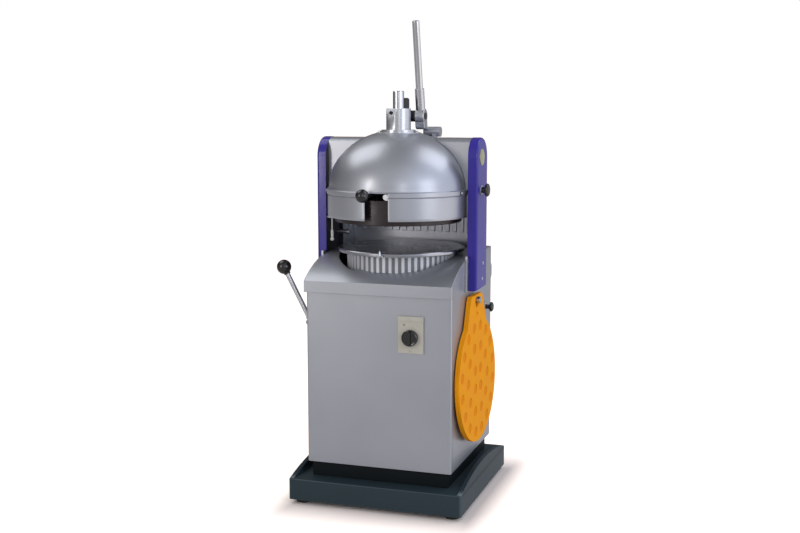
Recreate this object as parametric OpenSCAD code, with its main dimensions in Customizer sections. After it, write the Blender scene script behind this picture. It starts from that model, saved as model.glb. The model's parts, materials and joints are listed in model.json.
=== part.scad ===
// Divider rounder: a hand-pressed dough divider over a motor-driven rounding table.
// Millimetres, +Z up, the front faces -Y, the origin lies on the floor under the base.

/* [Base] */
// Width of the base casting across X
base_w = 630; // [600:1:760]
// Depth of the base casting along Y
base_d = 640; // [600:1:760]
// Height of the base casting
base_h = 76; // [50:1:110]
// Radius of its upright corners
base_corner = 8; // [5:0.5:20]
// Width of the slope along its edges
base_bevel = 3.5; // [2:0.5:6]
// Height of the arched cheeks' middle above the casting's top
cheek_rise = 42; // [20:1:50]
// Share of the space beside the plinth that a cheek takes up
cheek_share = 0.25; // [0.15:0.05:0.5]
// Wall thickness of the hollow base casting
base_wall = 14; // [6:1:30]
// Height of a rubber foot
foot_h = 14; // [8:1:30]
// Diameter of a rubber foot
foot_d = 56; // [30:1:80]
// Distance of a foot's centre from the base edges
foot_inset = 40; // [36:1:90]
// Height of the plinth between base and cabinet
plinth_h = 54; // [30:1:90]
// Distance of the plinth inside the cabinet's outline
plinth_inset = 14; // [10:1:30]
// Wall thickness of the plinth
plinth_wall = 6; // [3:0.5:12]

/* [Cabinet] */
// Width over the side panels
cab_w = 528; // [500:1:580]
// Depth over the front and rear panels
cab_d = 540; // [510:1:600]
// Distance of the cabinet's middle behind the base's middle
cab_y = 6; // [-10:1:20]
// Height of the flat deck above the plinth
cab_h = 728; // [690:1:800]
// Thickness of the sheet metal
sheet = 2.5; // [1.5:0.1:4]
// Radius of the cabinet's upright front corners
cab_corner = 8; // [4:0.5:16]
// Depth of the front panel's bent side flanges
front_return = 22; // [16:1:40]
// Radius of the curved top cover
apron_r = 487; // [460:1:560]
// Distance of the cover's front lip ahead of the front panel
apron_lip = 15; // [8:1:30]
// Height of the front lip
lip_h = 41; // [25:1:60]
// Overhang of the top cover past the side panels
apron_side = 3; // [1:0.5:6]
// Width of the chassis uprights
upright = 28; // [20:1:40]
// Gap between the machine deck and the nut of the plates' peg
machine_gap = 4; // [3:0.5:8]
// Thickness of the machine deck
inner_deck_t = 12; // [8:1:20]
// Height of the rear rail
rail_h = 76; // [50:1:100]
// Depth of the rear rail
rail_t = 24; // [12:1:40]
// Distance of the rear rail's top below the deck
rail_drop = 52; // [30:1:120]

/* [Columns] */
// Thickness of a column across X
col_t = 35; // [30:1:50]
// Depth of a column along Y
col_d = 141; // [125:1:170]
// Height of a column above the deck
col_h = 413; // [405:1:440]
// Length of a column below the deck, as a share of the cabinet's height
col_share = 0.1662; // [0.12:0.0002:0.2]
// Thickness of the column's cover sheet
col_sheet = 2.5; // [1.5:0.1:4]
// Thickness of the steel post inside
post_t = 16; // [10:1:22]
// Diameter of the round badge
badge_d = 58; // [30:1:70]
// Width of the strips in front of the columns
strip_w = 28; // [15:1:40]
// Thickness of these strips
strip_t = 8; // [4:0.5:12]

/* [Head] */
// Distance of the head's axis in front of the base's middle
head_front = 36; // [20:1:44]
// Outer radius of the dome's skirt
dome_r = 252; // [244:1:256]
// Height of the dome's lower edge above the deck
dome_up = 135; // [130:1:160]
// Height of the skirt below the bead
skirt_h = 77; // [70:1:90]
// Height of the bead
bead_h = 23; // [12:1:30]
// Projection of the bead
bead_t = 4; // [2:0.5:6]
// Rise of the dome above the bead
dome_rise = 203; // [190:1:212]
// Thickness of the dome's wall
dome_wall = 2.5; // [1.5:0.1:4]
// Width of the notch in the skirt's front
notch_w = 84; // [80:1:110]
// Distance of the notch's middle to the right of the axis
notch_right = 3; // [0:0.5:5]
// Radius of the hub on the dome
hub_r = 43.5; // [38:0.5:50]
// Height of the hub's top above the bead's top
hub_up = 278; // [268:1:290]
// Slope of the flat cut into the hub's front, from level
hub_slope = 66; // [50:1:75]
// Turn of that flat to the left of the front
hub_turn = 26; // [0:1:40]
// Distance of the flat's upper edge from the rod's axis
hub_flat = 30; // [27:0.5:36]
// Radius of the flange under the hub
flange_r = 78; // [72:1:80]
// Thickness of this flange
flange_t = 9; // [6:0.5:14]
// Radius of the raised ring on the flange
ring_r = 61; // [54:1:64]
// Height of the raised ring
ring_up = 9; // [4:0.5:14]
// Radius of the piston rod
rod_r = 19.5; // [18:0.5:24]
// Height of the rod's top above the hub's rear edge
rod_up = 61; // [55:1:90]

/* [Press] */
// Height of the press ring's lower edge above the deck
press_up = 117; // [112:1:122]
// Outer radius of the press ring
press_r = 226; // [218:1:228]
// Wall thickness of the press ring
press_wall = 14; // [8:0.5:16]
// Height of the press ring
press_h = 87; // [80:1:90]
// Recess of the press plate inside the ring
dough_h = 23; // [15:1:26]
// Thickness of the press plate
plate_t = 40; // [36:1:44]
// Depth of the knife slots
slot_depth = 30; // [29:0.5:32]
// Height of the knife blades
knife_h = 26; // [24:0.5:28]
// Thickness of the blades
knife_t = 2; // [1:0.1:3]
// Gap beside a blade
knife_gap = 0.6; // [0.4:0.1:1]
// Radius of the inner blade ring
knife_r1 = 78; // [70:1:88]
// Radius of the outer blade ring
knife_r2 = 146; // [135:1:160]
// Stroke of the knives
knife_stroke = 22; // [10:1:24]
// Radius of the latch ball
latch_ball_r = 23; // [15:0.5:26]
// Distance of the ball from the head's axis
latch_reach = 286; // [284:1:300]
// Angle of the latch arm from the front at rest
latch_angle = -6.9; // [-7.2:0.1:-6]

/* [Press lever] */
// Module of the rack and the sector gear
gear_m = 4; // [4:0.5:4]
// Teeth of the full gear circle
gear_n = 28; // [28:1:28]
// Width of the gear
gear_w = 12; // [10:1:14]
// Height of the lever's axis above the bead's top
pivot_up = 251; // [248:1:256]
// Radius of the lever's shaft
shaft_r = 12; // [9:0.5:15]
// Lean of the lever at rest
lever_lean = 11; // [5:0.5:15]
// Radius of the lever's boss
boss_r = 26; // [24:0.5:32]
// Length of the boss's tail below its shaft
boss_tail = 46; // [34:1:48]
// Width of the tail
tail_w = 40; // [30:1:44]
// Slanted corners of the tail
tail_cut = 8; // [4:0.5:12]
// Width of the lever's boss
boss_w = 34; // [34:1:40]
// Distance of the boss from the middle
boss_x = 44; // [42:1:50]
// Radius of the lever's socket
socket_r = 16.5; // [14.5:0.5:16.5]
// Length of the socket from the axis
socket_len = 98; // [80:1:110]
// Radius of the lever's tube
tube_r = 12.5; // [9:0.5:14]
// Length of the tube from the axis
tube_len = 336; // [280:1:380]

/* [Table] */
// Radius of the table disc
table_r = 227; // [215:1:229]
// Thickness of the table's rim
table_t = 13; // [8:0.5:16]
// Gap between deck and table
table_gap = 12; // [9:0.5:14]
// Outer radius of the fluted ring
flute_r = 193; // [185:1:200]
// Wall thickness of the fluted ring
flute_wall = 14; // [10:0.5:20]
// Height of the fluted ring
flute_h = 48; // [35:1:54]
// Number of the flutes
flute_n = 54; // [40:1:58]
// Depth of a flute
flute_deep = 5; // [2:0.5:8]
// Width of a flute
flute_w = 8; // [4:0.5:10]
// Radius of the table's orbit
orbit = 10; // [6:0.5:11]
// Gap around the orbiting ring in the top cover
orbit_gap = 10; // [6:0.5:12]
// Height of the table's locating pin
pin_h = 16; // [8:1:18]

/* [Drive] */
// Radius of the main shaft
main_r = 17; // [14:0.5:20]
// Radius of the eccentric pin
ecc_r = 15; // [12:0.5:18]
// Radius of the driven pulley under the belt
big_r = 96; // [80:1:105]
// Radius of the motor pulley under the belt
small_r = 31; // [25:1:38]
// Distance between the pulleys
belt_span = 186; // [175:1:192]
// Thickness of the belt
belt_t = 8; // [5:0.5:10]
// Width of the belt
belt_w = 14; // [10:1:18]
// Radius of the motor
motor_r = 74; // [60:1:80]
// Length of the motor
motor_h = 220; // [160:1:260]

/* [Controls] */
// Width of the switch plate
switch_w = 89; // [80:1:110]
// Height of the switch plate
switch_h = 127; // [110:1:150]
// Thickness of the switch plate
switch_t = 9; // [5:0.5:14]
// Distance of the switch knob right of the middle
switch_x = 121; // [100:1:140]
// Distance of the switch knob below the deck
switch_drop = 258; // [232:1:312]
// Radius of the switch knob
switch_knob_r = 28; // [18:0.5:32]
// Depth of the switch knob
switch_knob_h = 22; // [14:1:34]
// Distance of the rounding lever's axis below the deck
round_drop = 234; // [212:1:262]
// Distance of the rounding lever behind the front panel
round_y = 72; // [70:1:90]
// Angle of the rounding lever from upright
round_lean = 28; // [20:1:35]
// Length of the rounding lever
round_len = 212; // [160:1:240]
// Radius of the rounding lever's rod
round_r = 8.5; // [6:0.5:11]
// Radius of the rounding lever's ball
round_ball_r = 26; // [18:0.5:30]
// Radius of the column knob's head
col_knob_r = 23; // [16:0.5:28]
// Radius of the cabinet knob's head
cab_knob_r = 18; // [14:0.5:24]
// Distance of the cabinet knob below the deck
cab_knob_drop = 218; // [206:1:240]
// Pull of the knobs
knob_pull = 8; // [5:0.5:10]

/* [Moulding plates] */
// Radius of a moulding plate
mould_r = 226; // [210:1:228]
// Thickness of a moulding plate
mould_t = 8; // [6:0.5:10]
// Gap between the plates' necks and the column above them
neck_gap = 20; // [12:1:28]
// Height of the neck's top above the plate's middle
neck_h = 302; // [290:1:312]
// Width of the neck's top
neck_w = 148; // [120:1:170]
// Widening of the neck on each side per unit of its height
neck_flare = 0.45; // [0.3:0.05:0.6]
// Distance of the hanging hole's middle below the neck's top
hole_drop = 25; // [22:1:32]
// Radius of the hanging hole
hole_r = 19; // [16:0.5:20]
// Turn of the hung plates, rear edge away from the cabinet
hang_turn = 1.9; // [0:0.1:2]
// Lean of the hung plates, lower end away from the cabinet
hang_lean = 1.3; // [0:0.1:2]
// Radius of the peg
peg_r = 12; // [8:0.5:14]
// Diameter of the round recesses
recess_d = 38; // [24:1:42]
// Depth of the recesses
recess_h = 1.6; // [0.5:0.1:3]

/* [Clearances] */
// Radial clearance of running shafts
run = 0.06; // [0.03:0.01:0.09]
// Gap between fixed covers
seam = 0.5; // [0.3:0.1:1]
// Clearance of loose fits
loose = 0.5; // [0.4:0.1:1]

/* [Hidden] */
$fn = 96;
base_z = foot_h;
plinth_z = base_z + base_h;
cab_z = plinth_z + plinth_h;
deck_z = cab_z + cab_h;
half_w = cab_w / 2;
cheek_t = cheek_share * (base_w / 2 - half_w + plinth_inset);
front_y = cab_y - cab_d / 2;
rear_y = cab_y + cab_d / 2;
head_y = -head_front;
arc_y = -14;
lip_y = front_y - apron_lip;
lip_top = deck_z - apron_r + sqrt(apron_r * apron_r - (lip_y - arc_y) * (lip_y - arc_y));
col_z = deck_z - col_share * cab_h;
mould_z = col_z - neck_gap - neck_h;
hole_z = mould_z + neck_h - hole_drop;
peg_z = hole_z + hole_r - peg_r - loose;
nut_r = peg_r + 8;
inner_deck_z = peg_z - nut_r - machine_gap - inner_deck_t;
col_top = deck_z + col_h;
col_front = -0.5 - col_d / 2;
col_rear = -0.5 + col_d / 2;
strip_y = col_front - 2 - strip_w;
dome_z = deck_z + dome_up;
bead_z = dome_z + skirt_h;
crown_z = bead_z + bead_h;
ell_a = dome_r - 4;
hub_top = crown_z + hub_up;
rod_top = hub_top + rod_up;
press_z = deck_z + press_up;
press_top = press_z + press_h;
plate_z = press_z + dough_h;
plate_top = plate_z + plate_t;
arm_t = 11;
latch_z = press_top + arm_t + 2;
latch_h = 12;
spider_r = 50;
spider_top = plate_top + 80;
knife_ring_z = latch_z + latch_h + knife_stroke + 10;
beam_z = deck_z + 318;
beam_top = deck_z + 383;
beam_front = head_y - 2;
beam_rear = 44;
gear_r = gear_m * gear_n / 2;
rack_off = rod_r - 5;
pivot_y = head_y + rack_off + gear_r;
pivot_z = crown_z + pivot_up;
case_r = gear_r + gear_m + 4.5;
case_w = gear_w / 2 + 4;
table_z = deck_z + table_gap;
table_top = table_z + table_t;
flute_z = table_z - flute_h;
table_hole = flute_r + orbit + orbit_gap;
wall_y = head_y + table_r + orbit + 7;
pulley_z = inner_deck_z - 64;
flange_h = 3;
pulley_h = belt_w + 2 + 2 * flange_h;
motor_y = head_y + belt_span;
motor_top = pulley_z - 24;
house_z = inner_deck_z + inner_deck_t;
house_h = 84;
web_z = house_z + house_h + 2;
web_h = 12;
shaft_x = boss_x + boss_w + 2;
switch_z = deck_z - switch_drop;
round_z = deck_z - round_drop;
round_py = front_y + round_y;
round_x = -half_w - 15;
peg_y = -15;
mould_x = half_w + 6;
rest_y = 80;
rest_z = -420;
rest_r = 9;
knob_y = -22;
knob_z = deck_z + 231;
cab_knob_y = rear_y - 85;
cab_knob_z = deck_z - cab_knob_drop;
col_x = half_w + col_t;

// Silver metallic paint
SILVER = [0.62, 0.63, 0.66];
// Purple column paint
PURPLE = [0.25, 0.2, 0.55];
// Dark base paint
DARK = [0.2, 0.25, 0.28];
// Black plastic and rubber
BLACK = [0.06, 0.06, 0.07];
// Bright steel
STEEL = [0.78, 0.79, 0.8];
// Orange moulding plates
ORANGE = [0.94, 0.6, 0.1];
// Beige switch plate
BEIGE = [0.73, 0.71, 0.66];
// White plastic
WHITE = [0.88, 0.88, 0.86];

// Outline given in Y and Z, carried along X from x0 to x1
module along_x(x0, x1) {
    translate([x0, 0, 0])
        rotate([90, 0, 90])
            linear_extrude(x1 - x0)
                children();
}

// Round bar along X
module bar_x(x0, x1, r, y, z) {
    translate([x0, y, z])
        rotate([0, 90, 0])
            cylinder(h = x1 - x0, r = r);
}

// Box given by its two corners
module box(a, b) {
    translate(a)
        cube(b - a);
}

// Rectangle with round corners, centred
module round_rect(w, d, r) {
    square([w - 2 * r, d], center = true);
    square([w, d - 2 * r], center = true);
    for (x = [-1, 1], y = [-1, 1])
        translate([x * (w / 2 - r), y * (d / 2 - r)])
            circle(r = r);
}

// Ring given by two radii and two heights
module tube(r0, r1, z0, z1) {
    difference() {
        translate([0, 0, z0])
            cylinder(r = r1, h = z1 - z0);
        translate([0, 0, z0 - 1])
            cylinder(r = r0, h = z1 - z0 + 2);
    }
}

// Everything turned about the head's upright axis
module at_head() {
    translate([0, head_y, 0])
        children();
}

// Outline under the curved top cover in Y and Z, moved in by g
module under_cover(g) {
    intersection() {
        translate([arc_y, deck_z - apron_r])
            circle(r = apron_r - g, $fn = 240);
        translate([lip_y + g, cab_z - 5])
            square([arc_y - lip_y - g + 1, cab_h + 40]);
    }
    translate([arc_y, cab_z - 5])
        square([rear_y - arc_y, deck_z - g - cab_z + 5]);
}

// Cheek on one flank of the base, its top an arc from corner to corner
module cheek(x0) {
    half = base_d / 2 - base_corner;
    r = (half * half / cheek_rise + cheek_rise) / 2;
    along_x(x0, x0 + cheek_t)
        intersection() {
            translate([0, plinth_z + cheek_rise - r])
                circle(r = r, $fn = 360);
            translate([-half, plinth_z - 2 * base_bevel])
                square([2 * half, 2 * base_bevel + cheek_rise + 1]);
        }
}

module base_casting() {
    color(DARK)
        difference() {
            union() {
                hull() {
                    translate([0, 0, base_z])
                        linear_extrude(base_h)
                            round_rect(base_w - 2 * base_bevel, base_d - 2 * base_bevel, base_corner, $fn = 40);
                    translate([0, 0, base_z + base_bevel])
                        linear_extrude(base_h - 2 * base_bevel)
                            round_rect(base_w, base_d, base_corner, $fn = 40);
                }
                cheek(-base_w / 2);
                cheek(base_w / 2 - cheek_t);
            }
            for (x = [-1, 1], y = [-1, 1])
                translate([x * base_w / 4, y * base_d / 4, base_z - 1])
                    translate([0, 0, (base_h - base_wall) / 2])
                        cube([base_w / 2 - 4 * base_wall - 40, base_d / 2 - 4 * base_wall - 40,
                            base_h - base_wall], center = true);
        }
}

module rubber_feet() {
    color(BLACK)
        for (x = [-1, 1], y = [-1, 1])
            translate([x * (base_w / 2 - foot_inset), y * (base_d / 2 - foot_inset), 0])
                cylinder(d1 = foot_d - 6, d2 = foot_d, h = foot_h);
}

module plinth() {
    color(DARK)
        translate([0, cab_y, plinth_z])
            linear_extrude(plinth_h)
                difference() {
                    square([cab_w - 2 * plinth_inset, cab_d - 2 * plinth_inset], center = true);
                    square([cab_w - 2 * plinth_inset - 2 * plinth_wall,
                        cab_d - 2 * plinth_inset - 2 * plinth_wall], center = true);
                }
}

// Upright corner bars on a floor frame, under the machine deck
module chassis_frame() {
    reach = half_w - sheet;
    y0 = front_y + front_return + 2;
    y1 = rear_y - sheet;
    color(DARK) {
        for (x = [-reach, reach - upright], y = [y0, y1 - upright])
            box([x, y, cab_z], [x + upright, y + upright, inner_deck_z]);
        for (x = [-reach, reach - upright])
            box([x, y0 + upright, cab_z], [x + upright, y1 - upright, cab_z + upright]);
        for (y = [y0, y1 - upright])
            box([upright - reach, y, cab_z], [reach - upright, y + upright, cab_z + upright]);
    }
}

// Outline of the front panel with its round bent edges, moved in by g
module front_outline(g) {
    r = cab_corner;
    translate([r - half_w, front_y + g])
        square([cab_w - 2 * r, front_return - g + 1]);
    translate([g - half_w, front_y + r])
        square([cab_w - 2 * g, front_return - r + 1]);
    for (x = [-1, 1])
        translate([x * (half_w - r), front_y + r])
            circle(r = r - g);
}

module front_panel() {
    color(SILVER)
        difference() {
            translate([0, 0, cab_z])
                linear_extrude(cab_h)
                    difference() {
                        front_outline(0);
                        front_outline(sheet);
                        translate([-half_w - 5, front_y + front_return])
                            square([cab_w + 10, 5]);
                    }
            difference() {
                box([-half_w - 5, lip_y - 5, cab_z + 200], [half_w + 5, front_y + 60, deck_z + 60]);
                along_x(-half_w - 6, half_w + 6)
                    under_cover(sheet + seam);
            }
            translate([switch_x, front_y - 5, switch_z])
                rotate([-90, 0, 0])
                    cylinder(r = 9, h = 20);
        }
}

// Flat side panel under the top cover's curve, from x0 to x1
module side_sheet(x0, x1) {
    y0 = front_y + front_return + seam;
    intersection() {
        along_x(x0, x1)
            under_cover(sheet + seam);
        box([x0 - 1, y0, cab_z], [x1 + 1, rear_y, deck_z]);
    }
}

module left_side_panel() {
    color(SILVER)
        difference() {
            side_sheet(-half_w, sheet - half_w);
            bar_x(-half_w - 5, 10 - half_w, round_r + 8 + run, round_py, round_z);
        }
}

module right_side_panel() {
    color(SILVER)
        difference() {
            side_sheet(half_w - sheet, half_w);
            bar_x(half_w - 10, half_w + 5, 13 + run, cab_knob_y, cab_knob_z);
            bar_x(half_w - 10, half_w + 5, peg_r + run, peg_y, peg_z);
        }
}

module rear_panel() {
    color(SILVER)
        box([sheet + seam - half_w, rear_y - sheet, cab_z],
            [half_w - sheet - seam, rear_y, deck_z - sheet - seam]);
}

// Trapezoid rail across the rear panel
module rear_rail() {
    top = deck_z - rail_drop;
    color(SILVER)
        along_x(-half_w + 2, half_w - 2)
            polygon([[rear_y, top], [rear_y + rail_t, top - rail_t], [rear_y + rail_t, top - rail_h + 14],
                [rear_y + rail_t - 14, top - rail_h], [rear_y, top - rail_h]]);
}

// Curved cover with its front lip, a flat deck behind and a round hole for the fluted ring
module top_cover() {
    color(SILVER)
        difference() {
            intersection() {
                along_x(-half_w - apron_side, half_w + apron_side)
                    difference() {
                        under_cover(0);
                        under_cover(sheet);
                    }
                union() {
                    box([-half_w - 20, lip_y - 1, lip_top - lip_h], [half_w + 20, strip_y - 1, deck_z + 5]);
                    box([seam - half_w, strip_y - 2, lip_top - lip_h], [half_w - seam, rear_y + 1, deck_z + 5]);
                }
            }
            translate([0, head_y, flute_z - 6])
                cylinder(r = table_hole, h = 100);
        }
}

// Panel behind the work space with sides up to the columns, and upright ribs along its upper part
module rear_wall() {
    top = dome_z - 4;
    rib_z = deck_z + 56;
    pitch = 28;
    rib_n = 8;
    side_x = half_w - 4 - seam;
    side_y = col_rear + 2;
    color(SILVER)
        union() {
            box([-side_x, wall_y, deck_z], [side_x, wall_y + 3, top]);
            for (i = [-rib_n:rib_n])
                box([i * pitch - 8, wall_y - 5, rib_z], [i * pitch + 8, wall_y + 1, top]);
            for (s = [0, 1])
                mirror([s, 0, 0]) {
                    box([side_x - 3, side_y, deck_z], [side_x, wall_y + 1, top]);
                    for (i = [1, 2])
                        box([side_x - 8, wall_y - 8 - i * 1.6 * pitch, rib_z],
                            [side_x - 2, wall_y + 8 - i * 1.6 * pitch, top]);
                }
        }
}

// Column outline in Y and Z with a round top, moved in by g
module column_outline(g) {
    r = col_d / 2;
    translate([col_front + g, col_z + g])
        square([col_d - 2 * g, col_top - r - col_z - g]);
    translate([-0.5, col_top - r])
        circle(r = r - g);
}

// Upright plate that fills the open side of a column cover
module post(side) {
    x0 = side > 0 ? half_w : -half_w - post_t;
    color(BLACK)
        along_x(x0, x0 + post_t)
            column_outline(col_sheet + seam);
}

module left_post() {
    post(-1);
}

module right_post() {
    post(1);
}

// Sheet cover around a post, open towards the machine
module column_cover() {
    difference() {
        along_x(half_w, col_x)
            column_outline(0);
        along_x(half_w - 1, col_x - col_sheet)
            column_outline(col_sheet);
    }
}

module left_column_cover() {
    color(PURPLE)
        mirror([1, 0, 0])
            column_cover();
}

module right_column_cover() {
    color(PURPLE)
        difference() {
            column_cover();
            bar_x(col_x - 10, col_x + 5, 11 + run, knob_y, knob_z);
        }
}

module column_strips() {
    color(STEEL)
        for (x = [half_w, -half_w - strip_t])
            box([x, strip_y, col_z], [x + strip_t, strip_y + strip_w, deck_z + 5]);
}

// Screw heads on the columns and the dome, flange bolts and switch plate screws
module cover_screws() {
    color(STEEL) {
        for (s = [-1, 1], p = [[13, 31], [4, 85]])
            bar_x(s > 0 ? col_x : -col_x - 3, s > 0 ? col_x + 3 : -col_x, 6, p[0], deck_z - p[1]);
        for (a = [-76, 76])
            at_head()
                rotate([0, 0, a])
                    translate([0, -dome_r - bead_t - 0.1, bead_z + bead_h / 2])
                        rotate([90, 0, 0])
                            cylinder(r = 5, h = 5);
        for (a = [0, 180])
            at_head()
                rotate([0, 0, a])
                    translate([flange_r - 9, 0, flange_top()])
                        cylinder(r = 6, h = 6, $fn = 6);
        for (p = [[8, 0], [switch_h - 8, 2]])
            translate([switch_x, front_y - switch_t - p[1], switch_z - 55 + p[0]])
                rotate([90, 0, 0])
                    cylinder(r = 3.5, h = 1.6);
    }
}

module column_badge() {
    color([0.76, 0.74, 0.58])
        bar_x(col_x, col_x + 2, badge_d / 2, -13, col_top - 68);
}

// Cross beam between the posts with a block that carries the hub
module yoke_beam() {
    color(BLACK)
        difference() {
            union() {
                box([-half_w, beam_front, beam_z], [half_w, beam_rear, beam_top]);
                box([-56, head_y - 54, beam_z], [56, beam_rear, beam_top]);
            }
            translate([0, head_y, beam_z - 1])
                cylinder(r = rod_r + 1, h = beam_top - beam_z + 2);
        }
}

// Upper half of the dome as an outline of radius and height, moved out by g
function dome_pt(t, g) = [(ell_a + g) * cos(t), crown_z + (dome_rise + g) * sin(t)];

function flange_top() = crown_z + (dome_rise - dome_wall) * sqrt(1 - pow(flange_r / ell_a, 2)) + 4;

// Solid of the dome's outside, moved out by g
module dome_body(g) {
    at_head()
        rotate_extrude()
            polygon(concat([[0, dome_z - g], [dome_r + g, dome_z - g], [dome_r + g, bead_z],
                [dome_r + bead_t + g, bead_z + bead_t], [dome_r + bead_t + g, crown_z - bead_t],
                [ell_a + g, crown_z]], [for (i = [1:15]) dome_pt(i * 5.8, g)],
                [[0, crown_z + dome_rise + g]]));
}

// Silver saddle between the columns that closes round the dome and the beam
module head_hood() {
    color(SILVER)
        difference() {
            intersection() {
                along_x(seam - half_w, half_w - seam)
                    column_outline(1);
                box([-half_w, beam_front - 6, dome_z + 3], [half_w, col_rear, col_top]);
            }
            dome_body(1.2);
            box([-half_w - 1, beam_front - seam, beam_z - seam], [half_w + 1, beam_rear + seam, beam_top + seam]);
        }
}

// Hollow dome with a notch, a top hole and side openings for the beam
module dome_cover() {
    color(SILVER)
        difference() {
            dome_body(0);
            intersection() {
                dome_body(-dome_wall);
                box([-300, -400, dome_z], [300, 400, crown_z + dome_rise]);
            }
            at_head()
                translate([0, 0, dome_z - 5])
                    cylinder(r = dome_r - dome_wall, h = 20);
            at_head()
                translate([0, 0, crown_z + 80])
                    cylinder(r = flange_r + seam, h = 200);
            box([notch_right - notch_w / 2, head_y - dome_r - 20, dome_z - 5],
                [notch_right + notch_w / 2, head_y - 0.6 * dome_r, crown_z - 3]);
            box([-dome_r - 20, beam_front - seam, beam_z - seam], [dome_r + 20, beam_rear + seam, beam_top + seam]);
            box([-case_w - seam, 0, crown_z + 120], [case_w + seam, pivot_y + 34, crown_z + 300]);
        }
}

// Hub with flange and slanted top, bored for the rod and slotted for the gear
module piston_guide() {
    color(SILVER)
        difference() {
            at_head()
                union() {
                    translate([0, 0, beam_top])
                        cylinder(r = hub_r, h = hub_top - beam_top);
                    translate([0, 0, flange_top() - flange_t])
                        cylinder(r = flange_r, h = flange_t);
                    translate([0, 0, flange_top() - 1])
                        cylinder(r = ring_r, h = ring_up + 1);
                }
            at_head()
                translate([0, 0, beam_top - 1])
                    cylinder(r = rod_r + run, h = 200);
            at_head()
                rotate([0, 0, -hub_turn])
                    translate([0, -hub_flat, hub_top])
                        rotate([hub_slope - 90, 0, 0])
                            translate([-80, -160, -100])
                                cube([160, 160, 200]);
            box([-case_w, head_y + rod_r - 9, beam_top - 1], [case_w, pivot_y + 120, hub_top + 50]);
        }
}

// Narrow case round the sector gear, with the bearing tube of the lever's shaft
module gear_cover() {
    color(BLACK)
        difference() {
            union() {
                intersection() {
                    bar_x(-case_w, case_w, case_r, pivot_y, pivot_z);
                    box([-50, head_y + rod_r + 1, pivot_z - 100], [50, pivot_y + 24, pivot_z + 100]);
                }
                bar_x(case_w - 1, boss_x - 1, shaft_r + 8, pivot_y, pivot_z);
            }
            bar_x(-gear_w / 2 - 1, gear_w / 2 + 1, case_r - 3, pivot_y, pivot_z);
            bar_x(-60, 90, shaft_r + run, pivot_y, pivot_z);
        }
}

// Horizontal drum on a saddle over the hood
module spring_drum() {
    y = 76;
    z = col_top + 17;
    color(SILVER)
        difference() {
            union() {
                bar_x(62, 123, 18, y, z);
                box([100, y - 34, col_top - 60], [112, y - 4, z - 6]);
            }
            along_x(80, 130)
                column_outline(0.6);
            dome_body(0.3);
        }
}

// Round pin with a wider head on the left post
module stop_pin() {
    color(STEEL) {
        bar_x(-half_w, 40 - half_w, 8, 42, deck_z + 62);
        bar_x(37 - half_w, 47 - half_w, 11, 42, deck_z + 62);
    }
}

module stop_block() {
    color(WHITE)
        box([half_w - 20, -8, deck_z + 58], [half_w, 8, deck_z + 73]);
}

// Thin rod with a white sleeve and a small ball, hung from a short arm on the left post
module hanging_rod() {
    x = 18 - half_w;
    y = -58;
    color(WHITE) {
        box([-half_w, y - 4, dome_z - 14], [x + 4, y + 4, dome_z - 7]);
        translate([x, y, deck_z + 50])
            cylinder(r = 2.5, h = dome_z - 13 - deck_z - 50);
        translate([x, y, deck_z + 52])
            cylinder(r = 5, h = 24);
        translate([x, y, deck_z + 44])
            sphere(r = 7);
    }
}

// Flat plate with a lip along its top, bored for the knob's stem
module switch_plate() {
    x0 = switch_x - switch_w / 2;
    z0 = switch_z - 55;
    color(BEIGE)
        difference() {
            union() {
                box([x0, front_y - switch_t, z0], [x0 + switch_w, front_y, z0 + switch_h]);
                box([x0, front_y - switch_t - 2, z0 + switch_h - 16],
                    [x0 + switch_w, front_y - switch_t, z0 + switch_h]);
            }
            translate([switch_x, front_y - switch_t - 5, switch_z])
                rotate([-90, 0, 0])
                    cylinder(r = 5 + run, h = switch_t + 10);
            translate([switch_x, front_y + 1, switch_z])
                rotate([90, 0, 0])
                    cylinder(r = 9, h = 4);
        }
}

// Peg through the right panel with a flat collar and a nut behind, and a stud on which the plates rest
module plate_peg() {
    stud = mould_x + rest_y * sin(hang_turn) - rest_z * sin(hang_lean) - seam;
    color(STEEL) {
        bar_x(half_w - 14, mould_x + 2 * mould_t + 14, peg_r, peg_y, peg_z);
        bar_x(half_w, half_w + 3, nut_r, peg_y, peg_z);
        bar_x(half_w - sheet - 8, half_w - sheet, nut_r, peg_y, peg_z);
        bar_x(half_w, stud, rest_r, peg_y + rest_y, hole_z + rest_z);
    }
}

// Plain bushes of the rounding lever and of the two knobs
module control_bushes() {
    color(STEEL)
        difference() {
            union() {
                bar_x(-half_w - 4, sheet + 20 - half_w, round_r + 8, round_py, round_z);
                bar_x(-half_w - 4, -half_w, round_r + 15, round_py, round_z);
                bar_x(half_w - 20, half_w + 4, 13, cab_knob_y, cab_knob_z);
                bar_x(half_w, half_w + 4, 17, cab_knob_y, cab_knob_z);
                bar_x(col_x, col_x + 4, 17, knob_y, knob_z);
            }
            bar_x(-half_w - 40, 60 - half_w, round_r + run, round_py, round_z);
            bar_x(half_w - 40, half_w + 40, 8.5 + run, cab_knob_y, cab_knob_z);
            bar_x(col_x - 1, col_x + 40, 11 + run, knob_y, knob_z);
        }
}

// Steel plate on the uprights, with the motor's hanging cradle
module machine_deck() {
    reach = half_w - sheet;
    y0 = front_y + front_return + 2;
    color(DARK)
        difference() {
            union() {
                box([-reach, y0, inner_deck_z], [reach, rear_y - sheet, inner_deck_z + inner_deck_t]);
                for (x = [-92, 84])
                    box([x, motor_y - 40, motor_top - 1], [x + 8, motor_y + 40, inner_deck_z + 1]);
                box([-92, motor_y - 82, motor_top], [92, motor_y + 78, motor_top + 8]);
            }
            at_head()
                translate([0, 0, inner_deck_z - 1])
                    cylinder(r = main_r + 6, h = inner_deck_t + 2);
            translate([0, motor_y, motor_top - 2])
                cylinder(r = 20, h = 20);
            at_head()
                translate([0, 0, motor_top - 2])
                    cylinder(r = big_r + 16, h = 14);
        }
}

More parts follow.
